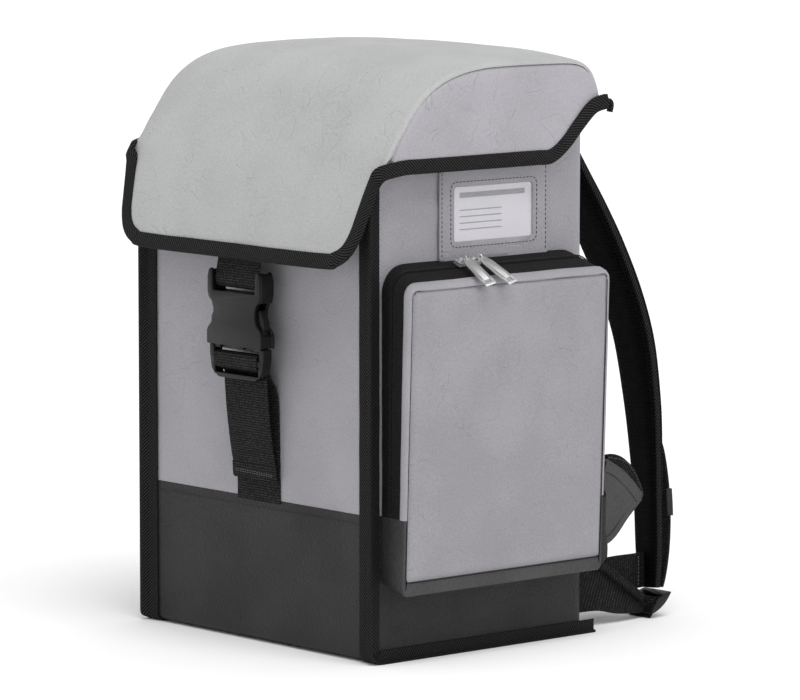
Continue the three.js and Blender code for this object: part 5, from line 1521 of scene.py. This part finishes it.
def make_locks():
    """A slide with a lens-shaped side view and two cross slots, which the webbing fills."""
    low, high = node_box("ladder_lock_right")
    place = Matrix.Translation((low + high) / 2) @ Matrix.Rotation(math.radians(LOCK_TILT), 4, "X")
    lock = Shape()
    wide, half = LOCK_WIDE, LOCK_HALF

    def lens(y):
        return LOCK_THICK * max(1 - (y / (half + 0.8)) ** 2, 0.04)

    def slab(y0, y1, steps, x0, x1, top, under):
        stops = [mix(y0, y1, k / steps) for k in range(steps + 1)]
        outline = [(y, lens(y) * top) for y in stops] + [(y, -lens(y) * under) for y in reversed(stops)]
        lock.rings([[place @ vec(x, y, z) for y, z in outline] for x in (x0, x1)])

    for low, high, share in ((-1.0, -0.45, 0.9), (-0.30, 0.18, 0.96), (0.33, 1.0, 0.92)):
        slab(half * low, half * high, 4, -wide * share, wide * share, 1.0, 0.8)
    for x0, x1 in ((-wide, -wide * 0.78), (wide * 0.78, wide)):
        slab(-half, half, 12, x0, x1, 0.9, 0.7)
    through = [(-1.1, -3.4), (-0.7, -2.6), (-0.45, 2.0), (-0.1, lens(0) + 1.0), (0.2, 2.6), (0.36, -1.8),
               (0.7, -2.2)]
    line = [place @ vec(0, half * share, z) for share, z in through]
    web = Shape().sweep(spline(line, 1.5), ACROSS, flat_section(TAIL_HALF, 0.8, 0.5))
    both_sides(("lock_frame", lock, PLASTIC, "buckle_plastic", "ladder_lock", {"bevel": 0.6}),
               ("lock_web", web, WEB, "webbing", "", {}))


def make_lower_webbing():
    """The webbing from each lock to the body, its rolled edge, and the sewn lug near the pad's end."""
    low, high = node_box("lower_webbing_right")
    x = (low.x + high.x) / 2
    end = node_box("ladder_lock_right")[0].y + 12
    rings = []
    stations = [(x, BACK - 1, 33.0, 20.0), (x, BACK + 25, 32.5, 20.0), (x - 2, BACK + 50, 22.0, 15.0),
                (x - 6, end, 12.0, 8.5)]
    for r in spline([Vector(station) for station in stations], 2.0):
        lean = 0.25 * smooth((r[1] - BACK) / 70)
        up, out = vec(-math.sin(lean), 0, math.cos(lean)), vec(math.cos(lean), 0, math.sin(lean))
        rings.append(set_out(vec(r[0], r[1], r[2] + 0.3), up, out, flat_section(r[3], 0.8, 0.5)))
    edge = spline([vec(x + 1.2, BACK + 4, 53.0), vec(x + 1.8, BACK + 28, 51.0), vec(x + 1.2, BACK + 55, 34.0),
                   vec(x - 2, end - 4, 17.0)], 1.6)
    roll = Shape().sweep(edge, ACROSS, [(a * 1.9, b * 3.6) for a, b in disc(1, 10)])
    low, high = node_box("strap_lug_right")
    x, z = (low.x + high.x) / 2, (low.z + high.z) / 2
    line = [vec(x + 0.5 * math.sin(k), mix(low.y, high.y + 4, k / 12), z) for k in range(13)]
    lug = Shape().sweep(line, UP, flat_section(15, 0.8, 0.5))
    line = [vec(x + 1.6, high.y - 7, z) for z in (low.z + 2, high.z - 2)]
    seam = stitches(Shape(), line, vec(0, 1, 0), *LUG_STITCH)
    both_sides(("lower_web", Shape().rings(rings), COARSE_WEB, "webbing", "lower_webbing", {}),
               ("lower_web_edge", roll, COARSE_WEB, "webbing", "", {}),
               ("lug_web", lug, WEB, "webbing", "strap_lug", {}),
               ("lug_stitches", seam, GREY_THREAD, "webbing", "", {}))


# Hip wings
WING_X = sum(corner.x for corner in node_box("hip_wing_right")) / 2


def wing_sheet():
    """The leather of a wing, thicker in the middle, between its two edges."""
    rings = []
    rows, columns = 30, 14
    for i in range(rows + 1):
        reach = mix(-1.0, 78.5, i / rows)
        top, bottom = read_table(WING_TOP, reach), read_table(WING_LOW, reach)
        ring = []
        for k in range(columns + 1):
            z = mix(bottom, top, k / columns)
            edge = clamp(min(k, columns - k) / 3)
            bulge = (0.9 + 1.6 * edge ** 0.6) * smooth((79.5 - reach) / 6) + 0.2
            bulge += edge * ripple(vec(0, reach, z), *WING_WAVE)
            ring.append(vec(WING_X + bulge, BACK + reach, z))
        rings.append(ring + [vec(2 * WING_X - p.x, p.y, p.z) for p in reversed(ring)])
    return Shape().rings(rings)


def flat_band(line, lift, half, thick):
    """A strip lying on a wing, along a line of (reach, height)."""
    path = spline([vec(WING_X + lift, BACK + a, b) for a, b in line], 2.0)
    section = flat_section(half, thick, 0.4)
    rings = [set_out(p, ACROSS.cross(ahead), ACROSS, section) for p, ahead in zip(path, tangents(path))]
    return Shape().rings(rings), path


def make_wings():
    """The hip wings with their hems, seams and webbing."""
    hem, path = flat_band([(33, 134), (43, 130), (60, 117), (73, 103)], 2.7, 4.6, 0.6)
    low_hem, low_path = flat_band([(8, 66), (38, 72), (58, 90), (74, 104)], 2.2, 2.8, 0.6)
    loop, outer = flat_band([(38, 137), (54, 133.5), (64.5, 126), (72.5, 113), (76, 105)], -1.2, 4.8, 0.8)
    inner = flat_band([(34, 136.5), (48, 136.5), (60, 131), (69, 119)], -4.5, 5.5, 0.8)[0]
    seams = Shape()
    rows = [(line, lift, offset) for offset in (-3.4, 3.4) for line, lift in ((path, 0.75), (outer, 0.95))]
    for line, lift, offset in rows + [(low_path, 0.75, 1.4)]:
        stitches(seams, [p + ACROSS.cross(t) * offset + ACROSS * lift for p, t in zip(line, tangents(line))],
                 UP, *WING_STITCH)
    slant = [vec(WING_X + 2.75, BACK + a, b) for a, b in ((58, 118), (46, 106), (34, 95))]
    stitches(seams, slant, UP, *WING_STITCH)
    both_sides(("wing_leather", wing_sheet(), POCKET_LEATHER, "base_leather", "hip_wing", {"fill": 0.3}),
               ("wing_hem", hem, POCKET_LEATHER, "base_leather", "", {}),
               ("wing_low_hem", low_hem, POCKET_LEATHER, "base_leather", "", {}),
               ("wing_stitches", seams, GREY_THREAD, "webbing", "", {}),
               ("wing_web", loop, WEB, "webbing", "hip_webbing", {}),
               ("wing_web_inner", inner, WEB, "webbing", "", {}))


# Studio
def make_camera():
    data = bpy.data.cameras.new("camera")
    data.lens = CAMERA_LENS
    data.sensor_width = CAMERA_SENSOR
    camera = bpy.data.objects.new("camera", data)
    camera.location = CAMERA_PLACE
    camera.rotation_euler = (math.radians(CAMERA_TILT), 0, math.radians(CAMERA_TURN))
    bpy.context.scene.collection.objects.link(camera)
    bpy.context.scene.camera = camera


def sun_light(name, toward, spread, strength):
    data = bpy.data.lights.new(name, "SUN")
    data.energy = strength
    data.angle = math.radians(spread)
    light = bpy.data.objects.new(name, data)
    light.rotation_euler = Vector(toward).to_track_quat("Z", "Y").to_euler()
    bpy.context.scene.collection.objects.link(light)


def make_studio():
    """Soft light from above, an even white world and a pale floor."""
    bpy.context.scene.view_settings.view_transform = "Standard"
    world = bpy.data.worlds.new("studio")
    world.use_nodes = True
    background = world.node_tree.nodes["Background"].inputs
    background["Color"].default_value = (1.0, 1.0, 1.0, 1.0)
    background["Strength"].default_value = WORLD_LIGHT
    bpy.context.scene.world = world
    sun_light("key_light", *KEY_LIGHT)
    sun_light("rim_light", *RIM_LIGHT)
    bpy.ops.mesh.primitive_plane_add(size=FLOOR_SIZE)
    floor = bpy.context.object
    floor.name = "floor"
    s = Surface("floor", Roughness=0.9, Specular_IOR_Level=0.1)
    s.colour(s.noise(s.place(), 300), grey(0.97), grey(0.985))
    floor.data.materials.append(s.material)


make_camera()
make_studio()
make_body()
make_base()
make_corner_bindings()
make_lid()
make_cheeks()
make_hem()
make_window()
make_pocket_wall()
make_pocket_base()
make_pocket_panel()
make_zip_pulls()
make_front_strap()
make_socket()
make_plug()
make_pads()
make_strap_webbing()
make_locks()
make_lower_webbing()
make_wings()
